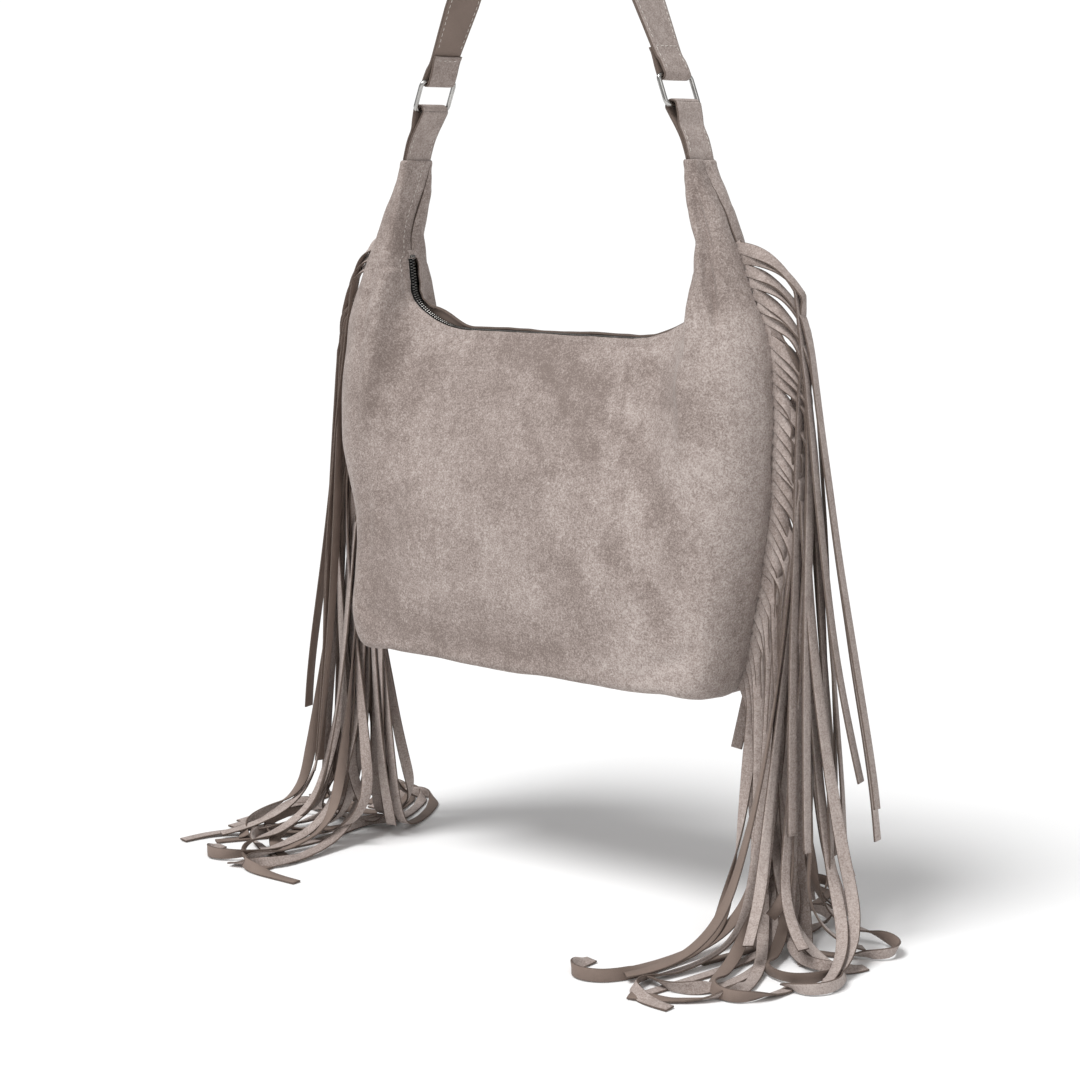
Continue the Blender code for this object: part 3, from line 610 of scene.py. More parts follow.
STROKES = [  # where the suede's pile was brushed, plus painted shade along the right horn's creases and a darker lower edge and lower left corner: line in the x-z plane, width, how much darker
    ([(-2.4, 22.2), (1.8, 21.6)], 1.5, 0.20), ([(3.2, 20.9), (6.0, 19.6)], 1.1, 0.30),
    ([(1.2, 20.6), (4.4, 17.6), (6.4, 15.6)], 0.7, 0.34), ([(5.6, 18.2), (8.6, 16.9)], 0.6, 0.26),
    ([(-0.4, 18.0), (1.6, 15.6)], 0.6, 0.22), ([(9.0, 20.5), (13.0, 19.6), (15.0, 18.0)], 1.9, 0.24),
    ([(9.4, 16.2), (12.2, 12.4)], 1.5, 0.26), ([(12.4, 14.0), (13.6, 9.0)], 1.2, 0.20),
    ([(8.8, 9.0), (11.8, 6.6), (12.6, 4.2)], 1.5, 0.26), ([(-9.6, 20.5), (-11.4, 16.0)], 1.2, 0.14),
    ([(-12.8, 23.0), (-13.4, 18.0)], 1.0, 0.18), ([(-13.2, 30.5), (-12.4, 28.6)], 0.9, 0.22),
    # The strokes on the next line make the lower edge and the lower left corner darker.
    ([(-8.0, 1.8), (-2.0, 1.6), (4.0, 1.8)], 0.9, 0.16), ([(-13.4, 8.0), (-12.2, 2.0)], 2.8, 0.19), ([(-14.6, 12.0), (-12.5, 3.0), (-6.0, 1.6)], 1.2, 0.10),
    # The next two strokes are painted shade along the right horn's creases.
    ([(13.0, 34.2), (13.4, 31.8)], 0.7, 0.16), ([(14.2, 28.4), (15.2, 25.2)], 0.8, 0.18),
    ([(-6.5, 12.0), (-1.0, 9.0)], 1.8, -0.12), ([(3.5, 12.5), (7.0, 8.0)], 1.6, -0.14),
    ([(-4.0, 5.6), (3.0, 4.6)], 1.4, -0.08), ([(6.8, 22.0), (7.4, 14.0), (7.6, 6.0)], 0.5, -0.16),
]


def nap_and_painted_light(p, front):
    """Lighter and darker brushed areas, 0 to 1, from a few strokes with ragged edges; they also hold painted shade
    along the right horn's creases, a darker lower edge and lower left corner, and painted light that makes the
    right part below the horns lighter.
    """
    xz = p[..., (0, 2)] * ((1, 1) if front else (-1, 1))
    ragged = 0.55 * waves(p, 301, 1.9, 8) + 0.35 * waves(p, 302, 0.8, 8)
    tone = 0.5 + 0.07 * waves(p, 303, 7.5, 7) + 0.05 * waves(p, 304, 2.6, 9)
    if not front:
        xz = xz * (-1, 1) + (1.7, 0.8)
    for line, width, dark in STROKES:
        d, _, _ = near_line(xz, line)
        tone = tone - dark / (1 + np.exp((d + ragged * 0.5 * width ** 0.5 - width * 0.75) / (0.13 + 0.10 * width)))
    # Painted light: the part beyond x 8.4 and below z 24.5 is made lighter than the rest, as if lit from the right.
    right = 1 / (1 + np.exp(-(xz[..., 0] - 8.4 + 0.5 * ragged) / 0.35))
    tone = tone - 0.12 + 0.20 * right / (1 + np.exp((xz[..., 1] - 24.5) / 0.6))
    return 0.42 + 0.34 * np.tanh((tone - 0.42) / 0.34)


PANEL = {}


def make_panel(front):
    g, n, runs, s, t = panel_surface(251, 119, front)
    inner = g - n * SUEDE_T
    if front:
        hold = np.array([seam_shift(u) == 0 for u in s])[:, None] | (t > 0.3)[None, :]
        inner[..., 1] = np.where(hold, np.minimum(inner[..., 1], -0.010), inner[..., 1])
    else:
        inner[..., 1] = np.maximum(inner[..., 1], 0.010)
    name = "front" if front else "back"
    PANEL[name] = (turned(g), unit(turned(g + n) - turned(g)), runs, s)
    o = shell(name + "_suede", place(turned(g)), place(turned(inner)), [PANEL_SUEDE, BACK, EDGE], front,
              nap_and_painted_light(g, front))
    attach(o, "body")
    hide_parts(name + "_panel")
    return o


# ------------------------------------------------------------------ stitching
def stitch_line(name, pts, nor, body="body", length=0.27, gap=0.13, radius=0.032, lift=0.012,
                lean=0.0, mat=None):
    """Separate stitches of twisted thread along a line on a surface, cm."""
    pts, nor = np.asarray(pts, float), np.asarray(nor, float)
    run = np.concatenate([[0], np.cumsum(np.linalg.norm(np.diff(pts, axis=0), axis=1))])
    count = max(1, int(run[-1] / (length + gap)))
    mids = (np.arange(count) + 0.5) * run[-1] / count
    verts, faces = [], []
    ring = np.linspace(0, 2 * math.pi, 7)[:-1]
    shape = [(-0.5, 0.45, -0.9), (-0.40, 0.92, -0.15), (-0.16, 1.0, 0.45), (0.16, 1.0, 0.45),
             (0.40, 0.92, -0.15), (0.5, 0.45, -0.9)]

    def at(s, table):
        return np.array([np.interp(s, run, table[:, k]) for k in range(3)])

    for m in mids:
        p, n = at(m, pts), unit(at(m, nor))
        d = unit(at(m + 0.08, pts) - at(m - 0.08, pts))
        d = unit(d + np.cross(n, d) * lean)
        w = np.cross(n, d)
        base = len(verts)
        for a, r, h in shape:
            c = p + d * (a * length) + n * (lift + h * radius)
            for q in ring:
                verts.append(c + (w * math.cos(q) + n * math.sin(q) * 0.8) * radius * r)
        for k in range(len(shape) - 1):
            for q in range(6):
                faces.append((base + k * 6 + q, base + k * 6 + (q + 1) % 6,
                              base + (k + 1) * 6 + (q + 1) % 6, base + (k + 1) * 6 + q))
        faces.append(tuple(base + q for q in range(5, -1, -1)))
        faces.append(tuple(base + (len(shape) - 1) * 6 + q for q in range(6)))
    o = mesh_object(name, place(verts), faces, [mat or THREAD])
    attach(o, body)
    return o


def panel_line(name, distance, lo, hi, from_free=True):
    """Points and normals on a panel at a distance from its free edge or its seam."""
    g, n, runs, s = PANEL[name]
    pts, nor = [], []
    for i in np.nonzero((s >= lo) & (s <= hi))[0]:
        d = distance if from_free else runs[i, -1] - distance
        pts.append([np.interp(d, runs[i], g[i, :, k]) for k in range(3)])
        nor.append([np.interp(d, runs[i], n[i, :, k]) for k in range(3)])
    return np.array(pts), np.array(nor)


# ------------------------------------------------------------------ lining
def make_lining():
    rows, half = 30, 40
    s = np.linspace(-9 / 14, 9 / 14, 2 * half + 1)
    t = np.linspace(0.06, 1.0, rows)
    both = []
    for front in (True, False):
        g = lattice(s, t, front)
        n = normals_of(g, 1.0)
        n = n * ((-1 if front else 1) * np.sign(n[half, rows // 2, 1]))
        g = sagged(g) - n * (0.44 - 0.05 * waves(g, 71, 5.0)[..., None])
        g[:, -1, 1] = 0.0
        sign = -1 if front else 1
        g[..., 1] = np.where(np.arange(rows)[None, :] < rows - 1,
                             sign * np.maximum(sign * g[..., 1], 0.12), 0.0)
        both.append((g, n))
    (gf, nf), (gb, nb) = both
    whole = np.concatenate([gf, gb[:, ::-1][:, 1:]], 1)
    norm = np.concatenate([nf, nb[:, ::-1][:, 1:]], 1)
    norm[:, rows - 1] = unit(nf[:, -1] + nb[:, -1])
    o = shell("lining_cloth", place(whole), place(whole - norm * 0.06), [LINING, LINING, LINING], True)
    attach(o, "body")
    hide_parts("lining")


# ------------------------------------------------------------------ zip
def zip_line():
    """The zip's middle line in the x-z plane, from the left end to the right."""
    u = np.linspace(0, 10 / 14, 400)
    p = smooth(INNER, u)
    p[u < 3 / 14, 1] = ZIP_Z
    return np.concatenate([(p * (-1, 1))[::-1], p[1:]])


def moved_in(line, d):
    """The line moved d into the bag, in its own plane."""
    t = unit(np.gradient(line, axis=0))
    return line - d * np.stack([-t[:, 1], t[:, 0]], 1)


def make_zip():
    line, _ = resample(moved_in(zip_line(), 0.13), n=260)
    # each tape: a thin woven strip, dipping into the bag
    section = [(0.07, -0.025), (0.12, -0.022), (0.18, 0.0), (0.235, 0.15), (0.29, 0.3),
               (0.345, 0.45), (0.40, 0.6)]
    for name, side in (("zip_tape_front", -1), ("zip_tape_back", 1)):
        ripple = 0.012 * np.sin(np.linspace(0, 60, len(line)))
        faces_at = []
        for t in (0.0, 0.055):
            rows = []
            for k, (y, d) in enumerate(section):
                p = moved_in(line, d)
                yy = side * (y + t + ripple * (k / 6))
                rows.append(np.stack([p[:, 0], yy, p[:, 1]], 1))
            faces_at.append(np.stack(rows, 1))
        o = shell(name + "_cloth", place(faces_at[0]), place(faces_at[1]), [TAPE, TAPE, TAPE], side > 0)
        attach(o, "body")
        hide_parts(name)
    # single teeth, the two rows a half step apart
    run = np.concatenate([[0], np.cumsum(np.linalg.norm(np.diff(line, axis=0), axis=1))])
    pitch = 0.205
    for name, side, start in (("zip_teeth_front", -1, 0.1), ("zip_teeth_back", 1, 0.1 + pitch / 2)):
        verts, faces = [], []
        for s in np.arange(start, run[-1] - 0.1, pitch):
            p = np.array([np.interp(s, run, line[:, k]) for k in (0, 1)])
            q = np.array([np.interp(s + 0.05, run, line[:, k]) for k in (0, 1)])
            along = unit(q - p)
            out = np.array([-along[1], along[0]])
            base = len(verts)
            for h, a, y0, y1 in ((0.088, 0.060, 0.050, 0.235), (0.112, 0.072, 0.030, 0.248),
                                 (0.172, 0.072, 0.030, 0.248), (0.198, 0.052, 0.055, 0.225)):
                for sa, y in ((-1, y0), (1, y0), (1, y1), (-1, y1)):
                    c = p + along * sa * a * 0.5 * (1.25 if y == y1 else 1.0) + out * h
                    verts.append((c[0], side * y, c[1]))
            for k in range(3):
                for e in range(4):
                    faces.append((base + 4 * k + e, base + 4 * k + (e + 1) % 4,
                                  base + 4 * k + 4 + (e + 1) % 4, base + 4 * k + 4 + e))
            faces.append((base + 3, base + 2, base + 1, base))
            faces.append((base + 12, base + 13, base + 14, base + 15))
        o = mesh_object(name + "_row", place(verts), faces, [TEETH], smooth_faces=False)
        face_outward(o)
        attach(o, "body")
        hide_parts(name)


# ------------------------------------------------------------------ rings, tabs, strap
def ring_frame(side):
    mid = np.array([side * RING_MID[0], 0, RING_MID[1]])
    up = np.array([-side * math.sin(RING_LEAN), 0, math.cos(RING_LEAN)])
    bar = np.array([math.sin(TWIST), math.cos(TWIST), 0])
    return mid, up, bar


def make_ring(side):
    """Rounded rectangle of wire, with a faint brazed joint in its lower bar."""
    mid, up, bar = ring_frame(side)
    w, h, r = (RING_IN_W + 2 * RING_WIRE) / 2, RING_LINK / 2, 0.34
    path = []
    for cx, cz, a0 in ((w - r, h - r, 90), (w - r, -h + r, 0), (-w + r, -h + r, -90),
                       (-w + r, h - r, -180)):
        for k in range(9):
            a = math.radians(a0 - 11.25 * k)
            path.append((cx + r * math.cos(a), cz + r * math.sin(a)))
    path = np.array(path + [path[0]])
    path, _ = resample(path, n=121)
    path = path[:-1]
    d = unit(np.roll(path, -1, 0) - np.roll(path, 1, 0))
    n = np.stack([d[:, 1], -d[:, 0]], 1)
    face = np.cross(bar, up)
    verts = []
    for (a, b), (na, nb) in zip(path, n):
        weld = 1 + 0.045 * math.exp(-((a - 0.35) / 0.07) ** 2) * (b < 0)
        for q in np.linspace(0, 2 * math.pi, 17)[:-1]:
            k = RING_WIRE * weld
            verts.append(mid + bar * (a + na * k * math.cos(q)) + up * (b + nb * k * math.cos(q))
                         + face * k * math.sin(q))
    m, c = len(path), 16
    faces = [(i * c + j, i * c + (j + 1) % c, ((i + 1) % m) * c + (j + 1) % c, ((i + 1) % m) * c + j)
             for i in range(m) for j in range(c)]
    name = "right" if side > 0 else "left"
    o = face_outward(mesh_object(f"ring_{name}_wire", place(verts), faces, [NICKEL]))
    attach(o, "ring_r" if side > 0 else "ring_l")
    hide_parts(f"ring_{name}")


def ribbon(name, path, thick, width, node, mats, cup=0.0, seed=1):
    """A strip of suede along a line in the x-z plane, its width across the twisted bars."""
    path = np.asarray(path, float)
    d = unit(np.gradient(path, axis=0))
    n = np.stack([d[:, 1], -d[:, 0]], 1)  # to the line's right: the strip's outer face
    r = min(0.05, float(np.min(thick)) * 0.35)
    section, kinds = [], []
    across = np.linspace(-1, 1, 13)
    for a in across:
        section.append((a, 1.0, 0.0, 0))
    for q in (-0.5, 0.5):
        section.append((1.0, -q, 1.0, 2))
    for a in across[::-1]:
        section.append((a, -1.0, 0.0, 1))
    for q in (-0.5, 0.5):
        section.append((-1.0, q, 1.0, 2))
    section = [(a, b, e, k) for a, b, e, k in section]
    t = np.broadcast_to(np.asarray(thick, float), (len(path),))
    verts = []
    rng = np.random.default_rng(seed)
    wob = waves(np.stack([path[:, 0], path[:, 1]], 1), seed, 7.0)
    for k in range(len(path)):
        w = width(path[k, 1]) / 2
        for a, b, e, _ in section:
            y = a * (w - r * (1 - e))
            edge = 1 - 0.16 * abs(a) ** 10
            lift = b * t[k] / 2 * edge + cup * (a * a - 0.4) + 0.012 * wob[k] * (1 - a * a)
            p = path[k] + n[k] * lift
            yy = y * math.cos(TWIST)
            verts.append((p[0] + yy * math.tan(TWIST), yy, p[1]))
    m, c = len(path), len(section)
    faces, pick = [], []
    for i in range(m - 1):
        for j in range(c):
            faces.append((i * c + j, i * c + (j + 1) % c, (i + 1) * c + (j + 1) % c, (i + 1) * c + j))
            k0, k1 = section[j][3], section[(j + 1) % c][3]
            pick.append(2 if 2 in (k0, k1) else k0)
    faces.append(tuple(range(c - 1, -1, -1)))
    faces.append(tuple((m - 1) * c + j for j in range(c)))
    pick += [2, 2]
    o = face_outward(mesh_object(name, place(verts), faces, mats, pick, tone=np.full(len(verts), 0.5)))
    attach(o, "body")
    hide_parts(node)
    return o, path, n


def edge_rows(name, path, n, thick, width, inset, faces=(1, -1), lo=None, hi=None):
    """Two rows of stitches near a ribbon's edges on its faces."""
    t = np.broadcast_to(np.asarray(thick, float), (len(path),))
    for f in faces:
        for e in (-1, 1):
            pts, nor = [], []
            for k in range(len(path)):
                if (lo is not None and k < lo) or (hi is not None and k > hi):
                    continue
                y = e * (width(path[k, 1]) / 2 - inset) * math.cos(TWIST)
                p = path[k] + n[k] * f * t[k] / 2
                pts.append((p[0] + y * math.tan(TWIST), y, p[1]))
                nor.append((n[k][0] * f, 0, n[k][1] * f))
            stitch_line(f"{name}_{'out' if f > 0 else 'in'}_{'b' if e > 0 else 'a'}", pts, nor,
                        length=0.26, gap=0.15, radius=0.024, lift=0.004)


def cross_row(name, path, n, thick, width, k, faces=(1,), inset=0.3):
    for f in faces:
        pts, nor = [], []
        for y in np.linspace(-1, 1, 12) * (width(path[k, 1]) / 2 - inset) * math.cos(TWIST):
            p = path[k] + n[k] * f * thick / 2
            pts.append((p[0] + y * math.tan(TWIST), y, p[1]))
            nor.append((n[k][0] * f, 0, n[k][1] * f))
        stitch_line(name + ("_out" if f > 0 else "_in"), pts, nor, length=0.24, gap=0.12,
                    radius=0.026, lift=0.004)


def make_tab(side):
    mid, up3, _ = ring_frame(side)
    up = np.array([up3[0], up3[2]])
    bar = np.array([mid[0], mid[2]]) - up * RING_LINK / 2
    bend = 0.345
    c = bar - 0.08 * up
    n = np.array([up[1], -up[0]])
    foot = np.array([side * 12.2, 35.2])
    legs = []
    for s in (1, -1):
        legs.append([c + s * n * bend,
                     c + s * n * 0.20 - up * 0.78 + np.array([side * 0.02, 0]),
                     c + s * n * 0.07 - up * 1.4 + np.array([side * 0.03, 0]),
                     foot + np.array([s * 0.05, 1.1]) - np.array([side * 0.36, 0]),
                     foot + np.array([s * 0.02, 0.0]),
                     foot + np.array([s * 0.02 + side * 0.06, -0.45]),
                     foot + np.array([s * 0.02 + side * 0.24, -1.2])])
    arc = [c + bend * (math.cos(a) * n + math.sin(a) * up) for a in np.linspace(0, math.pi, 13)]
    inner = legs[0][::-1] + arc[1:-1] + legs[1]
    line = spline(inner, 5)
    d = unit(np.gradient(line, axis=0))
    mid_line = line + np.stack([d[:, 1], -d[:, 0]], 1) * TAB_T / 2
    line, _ = resample(mid_line, step=0.11)
    name = "right" if side > 0 else "left"
    o, path, nn = ribbon(f"tab_{name}_suede", line, TAB_T * 0.96, lambda z: TAB_W, f"tab_{name}",
                         [SUEDE, BACK, EDGE], seed=31 + side)
    keep = [k for k in range(len(path)) if path[k, 1] > 35.35 and path[k, 1] < 37.0]
    for half, ks in (("p", [k for k in keep if k < len(path) / 2]), ("q", [k for k in keep if k > len(path) / 2])):
        if len(ks) > 2:
            edge_rows(f"stitch_tab_{name}_{half}", path, nn, TAB_T, lambda z: TAB_W, 0.24, (1,), ks[0], ks[-1])
    return o


def make_strap():
    mid, up3, _ = ring_frame(1)
    u, n = np.array([up3[0], up3[2]]), np.array([up3[2], -up3[0]])
    bar = np.array([mid[0], mid[2]]) + u * RING_LINK / 2
    a = bar + u * 1.55
    rise = unit(np.array([-0.405, 0.914]))
    top_r = 2.7
    ang0 = math.atan2(-rise[0], rise[1])
    big = top_r + STRAP_T / 2
    cz = HANG_Z - top_r
    end = np.array([big * math.cos(ang0), cz + big * math.sin(ang0)])
    run = [a + (end - a) * t for t in np.linspace(0, 1, 9)[:-1]]
    arc = [np.array([big * math.cos(t), cz + big * math.sin(t)]) for t in np.linspace(ang0, math.pi / 2, 12)]
    d = unit(run[1] - run[0])
    m = np.array([d[1], -d[0]])
    t_loop = STRAP_T * 0.75
    rr = RING_WIRE + 0.045 + t_loop / 2
    off = STRAP_T / 2 + t_loop / 2 + 0.012
    tail = [a + d * s - m * off for s in (0.42, 0.22, 0.0)]
    loop = [bar + rr * (math.cos(t) * n + math.sin(t) * u)
            for t in np.radians(np.linspace(188, 352, 13))]
    # the folded end comes first: raw edge on the inner face, down, round the bar, then up
    line = tail + [bar + u * 0.78 - n * 0.285] + loop + [bar + u * 0.80 + n * 0.20] + run + arc
    line = spline(line, 6)
    line, s = resample(line, step=0.16)
    z_fold = a[1] + 0.2
    thick = np.interp(np.arange(len(line)), [0, np.argmin(np.abs(line[:, 1] - a[1] - 0.8) + (np.arange(len(line)) < 30) * 9),
                                             len(line)], [t_loop, STRAP_T, STRAP_T])
    low = int(np.argmin(line[:, 1]))
    after = np.nonzero((np.arange(len(line)) > low) & (line[:, 1] > a[1] + 0.5))[0][0]
    thick = np.where(np.arange(len(line)) < low, t_loop,
                     np.interp(np.arange(len(line)), [low, after], [t_loop, STRAP_T]))
    whole = np.concatenate([line, (line * (-1, 1))[::-1][1:]])
    tt = np.concatenate([thick, thick[::-1][1:]])
    neck, bar_z = STRAP_NECK / STRAP_W, float(bar[1])

    def width(z):
        return STRAP_W * float(np.interp(z - bar_z, [1.0, 5.0], [neck, 1.0]))

    o, path, nn = ribbon("strap_suede", whole, tt, width, "strap", [SUEDE, BACK, EDGE], seed=61)
    # which side of the ribbon is outer: it must face away from the bag's middle
    h = len(line)
    edge_rows("stitch_strap_r", path, nn, tt, width, 0.27, (1, -1), after + 2, h - 1)
    edge_rows("stitch_strap_l", path, nn, tt, width, 0.27, (1, -1), h, len(path) - after - 3)
    ends = [k for k in range(len(line)) if k > low and line[k, 1] > a[1] + 0.28]
    k0 = ends[0]
    for side, kk in (("r", k0), ("l", len(path) - 1 - k0)):
        cross_row(f"stitch_strap_x_{side}", path, nn, STRAP_T, width, kk, (1,), 0.26)
    for side, lo, hi in (("r", low + 5, k0), ("l", len(path) - 1 - k0, len(path) - 6 - low)):
        edge_rows(f"stitch_strap_end_{side}", path, nn, tt, width, 0.30, (1,), lo, hi)
    for side, kk in (("r", 2), ("l", len(path) - 3)):
        cross_row(f"stitch_strap_fold_{side}", path, nn, t_loop, width, kk, (1,), 0.32)
    return o


# ------------------------------------------------------------------ the strands
# Seam line of the right side, from the top down, and the body's section at a height
SEAM = [(15.2, 29.7), (16.45, 26.9), (17.75, 23.6), (18.25, 19.2), (18.2, 14.5),
        (17.7, 9.3), (16.9, 4.3), (15.6, 0.05)]
SECT = [(0.0, 15.6, 13.0, 4.3), (4.3, 16.9, 13.9, 4.35), (9.3, 17.7, 14.4, 4.25),
        (14.5, 18.2, 14.4, 4.3), (19.2, 18.25, 14.5, 4.0), (23.6, 17.75, 14.6, 3.45),
        (26.9, 16.45, 14.5, 2.7), (29.7, 15.2, 14.0, 1.9), (32.2, 14.0, 13.15, 1.5),
        (35.0, 12.58, 12.2, 1.44)]
FLOOR = FLOOR_Z
DS, WID = 0.55, 0.84
REACH = 3.6
# how far the tails may lie: lowest x, highest x, lowest y, highest y, right and left side
WALL = [(11.8, 12.6), (28.0, 29.6), (-16.1, -11.6), (16.0, 13.2)]
SPREAD, MIDDLE = 0.016, 0.9


def seam_roots(n, top, low):
    p = np.array(SEAM)
    k = len(p) - 1
    u = np.linspace(0, k, 400)
    i = np.minimum(u.astype(int), k - 1)
    f = (u - i)[:, None]
    a, b, c, d = (p[np.clip(i + q, 0, k)] for q in (-1, 0, 1, 2))
    q = 0.5 * (2 * b + (c - a) * f + (2 * a - 5 * b + 4 * c - d) * f**2 + (3 * b - a - 3 * c + d) * f**3)
    run = np.concatenate([[0], np.cumsum(np.linalg.norm(np.diff(q, axis=0), axis=1))])
    s0 = np.interp(-top, -q[:, 1], run)
    s1 = np.interp(-low, -q[:, 1], run)
    s = np.linspace(s0, s1, n)
    pos = np.stack([np.interp(s, run, q[:, 0]), np.interp(s, run, q[:, 1])], 1)
    e = 0.05
    tan = np.stack([np.interp(s + e, run, q[:, 0]) - np.interp(s - e, run, q[:, 0]),
                    np.interp(s + e, run, q[:, 1]) - np.interp(s - e, run, q[:, 1])], 1)
    tan /= np.linalg.norm(tan, axis=1)[:, None]
    return pos, tan


def neighbours(P, sid, reach, skip):
    """Index pairs of points nearer than reach, from different strands or far apart on one."""
    cell = reach
    g = np.floor(P / cell).astype(np.int64)
    g -= g.min(0) - 2
    nx, ny = g[:, 0].max() + 3, g[:, 1].max() + 3
    key = g[:, 0] + nx * (g[:, 1] + ny * g[:, 2])
    order = np.argsort(key, kind="stable")
    ks = key[order]
    A, B = [], []
    for dz in (0, 1):
        for dy in (-1, 0, 1):
            for dx in (-1, 0, 1):
                if dz == 0 and (dy < 0 or (dy == 0 and dx < 0)):
                    continue
                off = dx + nx * (dy + ny * dz)
                lo = np.searchsorted(ks, ks + off, "left")
                hi = np.searchsorted(ks, ks + off, "right")
                if off == 0:
                    lo = np.arange(len(ks)) + 1
                cnt = np.maximum(hi - lo, 0)
                tot = cnt.sum()
                if not tot:
                    continue
                a = np.repeat(np.arange(len(ks)), cnt)
                st = np.repeat(lo - np.concatenate([[0], np.cumsum(cnt)[:-1]]), cnt)
                b = np.arange(tot) + st
                a, b = order[a], order[b]
                d = P[a] - P[b]
                ok = (np.einsum("ij,ij->i", d, d) < reach * reach) & (
                    (sid[a, 0] != sid[b, 0]) | (np.abs(sid[a, 1] - sid[b, 1]) > skip))
                ok &= (sid[a, 1] > 3) | (sid[b, 1] > 3)
                A.append(a[ok])
                B.append(b[ok])
    return np.concatenate(A), np.concatenate(B)


def simulate(cfg, seed, steps=(70, 300, 150), iters=9, d0=0.34, log=None):
    """Lets the strands of both sides fall, lowers the bag and lets them come to rest.
    cfg has one row per strand: side, root x, root z, tangent x, tangent z, length, lean
    (how far to the back its column hangs), the direction its tail takes on the floor, how
    much that direction turns per centimetre, and the pull's strength."""
    rng = np.random.default_rng(seed)
    S = len(cfg)
    side, rx, rz, tx, tz, length, lean, gx, gy, pull = cfg.T
    M = int(round(length.max() / DS)) + 1
    last = np.round(length / DS).astype(int)  # last row of each strand
    out = np.stack([-tz, np.zeros(S), tx], 1)
    out *= np.sign(out[:, :1])
    tan = np.stack([tx, np.zeros(S), tz], 1)
    # starting shape: each strand lies over the ones below it, in its own column
    s = np.arange(M) * DS
    ydir = np.array([0, 1.0, 0])
    root = np.stack([rx, np.zeros(S), rz], 1) - out * 0.1
    seam_z = np.array([q[1] for q in SEAM])[::-1]
    seam_x = np.array([q[0] for q in SEAM])[::-1]
    mid = np.zeros((S, M, 3))
    mid[:, 0] = root
    layer = np.array([((side == side[i]) & (rz < rz[i]) & (np.abs(lean - lean[i]) < 0.8)).sum()
                      for i in range(S)])
    upper = np.clip((rz - 6.0) / 8.0, 0, 1)
    bow = np.where(side > 0, 1.05, 0.55) + np.where(side > 0, 0.24, 0.13) * layer * upper + rng.normal(0, 0.13, S) * np.where(rz > 19, 0.35, 1)
    bow = np.clip(bow, 0.45, 2.1) * (0.65 + 0.35 * upper)
    dip = np.clip(np.where(side > 0, 0.56, 0.85) + rng.normal(0, 0.09, S) - 0.25 * (rz > 28.6), 0.25, 1.0)
    held = np.round(np.minimum(5.2 * bow + 0.6, 8) + np.where(rz > 24.5, 3, 0)).astype(int)  # rows that the stiff root keeps in its bow
    for k in range(1, M):
        z = mid[:, k - 1, 2]
        a = np.minimum(dip + (math.pi / 2 - dip) * (k - 0.5) / (5.2 * bow + 1.0), math.pi / 2)
        fall = np.clip((rz - z - 0.4) / (5.0 + 3.0 * upper), 0, 1)
        yt = lean * fall * fall * (3 - 2 * fall)
        heading = out * np.cos(a)[:, None] + np.array([0, 0, -1.0]) * np.sin(a)[:, None]
        slide = np.interp(z - DS, seam_z, seam_x) - np.interp(z, seam_z, seam_x)
        heading[:, 0] += np.where(z > 18.2, np.maximum(slide, 0) / DS * np.sin(a), 0)
        heading[:, 1] += (yt - mid[:, k - 1, 1]) * 0.5
        heading /= np.linalg.norm(heading, axis=1)[:, None]
        mid[:, k] = mid[:, k - 1] + heading * DS
    quick_turn = rng.uniform(3.4, 5.6, (S, 1))
    flipped = np.where(rng.random((S, 1)) < np.where(side > 0, 0.14, 0.16)[:, None], -1.0, 1.0)
    turn = np.clip(s[None, :] / quick_turn, 0, 1)
    turn = turn * turn * (3 - 2 * turn) * math.radians(84) * flipped
    wid = tan[:, None, :] * np.cos(turn)[..., None] - ydir * np.sin(turn)[..., None]
    run = np.gradient(mid, axis=1)
    run /= np.linalg.norm(run, axis=2)[..., None]
    wid = wid - run * np.einsum("ijk,ijk->ij", wid, run)[..., None]
    wid /= np.linalg.norm(wid, axis=2)[..., None]
    X = np.stack([mid - wid * WID / 2, mid + wid * WID / 2], 2)  # upper edge, lower edge
    HIGH = 26.0
    V = np.zeros_like(X)
    w = np.ones((S, M))
    w[np.arange(M)[None, :] < held[:, None]] = 0
    pin = X.copy()
    fast = (w == 0)[..., None, None]
    live = (np.arange(M)[None, :] <= last[:, None]).astype(float)
    sid = np.stack([np.repeat(np.arange(S), M * 3), np.tile(np.repeat(np.arange(M), 3), S)], 1)
    alive3 = np.repeat(live.ravel(), 3) > 0
    dt = 1 / 170
    diag = math.hypot(DS, WID)
    sect = np.array(SECT)
    g = np.array([0, 0, -981.0])
    noise = rng.normal(0, 1, (S, 2))
    floor = FLOOR + 0.08
    total = sum(steps)
    pairs = None
    prev_lift = HIGH
    offs = np.array([0, 0, 0.0])

    def pairfix(A, B, rest, k, wa, wb):
        d = B - A
        l = np.sqrt(np.einsum("...i,...i->...", d, d)) + 1e-9
        c = (k * (l - rest) / l / np.maximum(wa + wb, 1e-9))[..., None] * d
        return c * wa[..., None], c * wb[..., None]

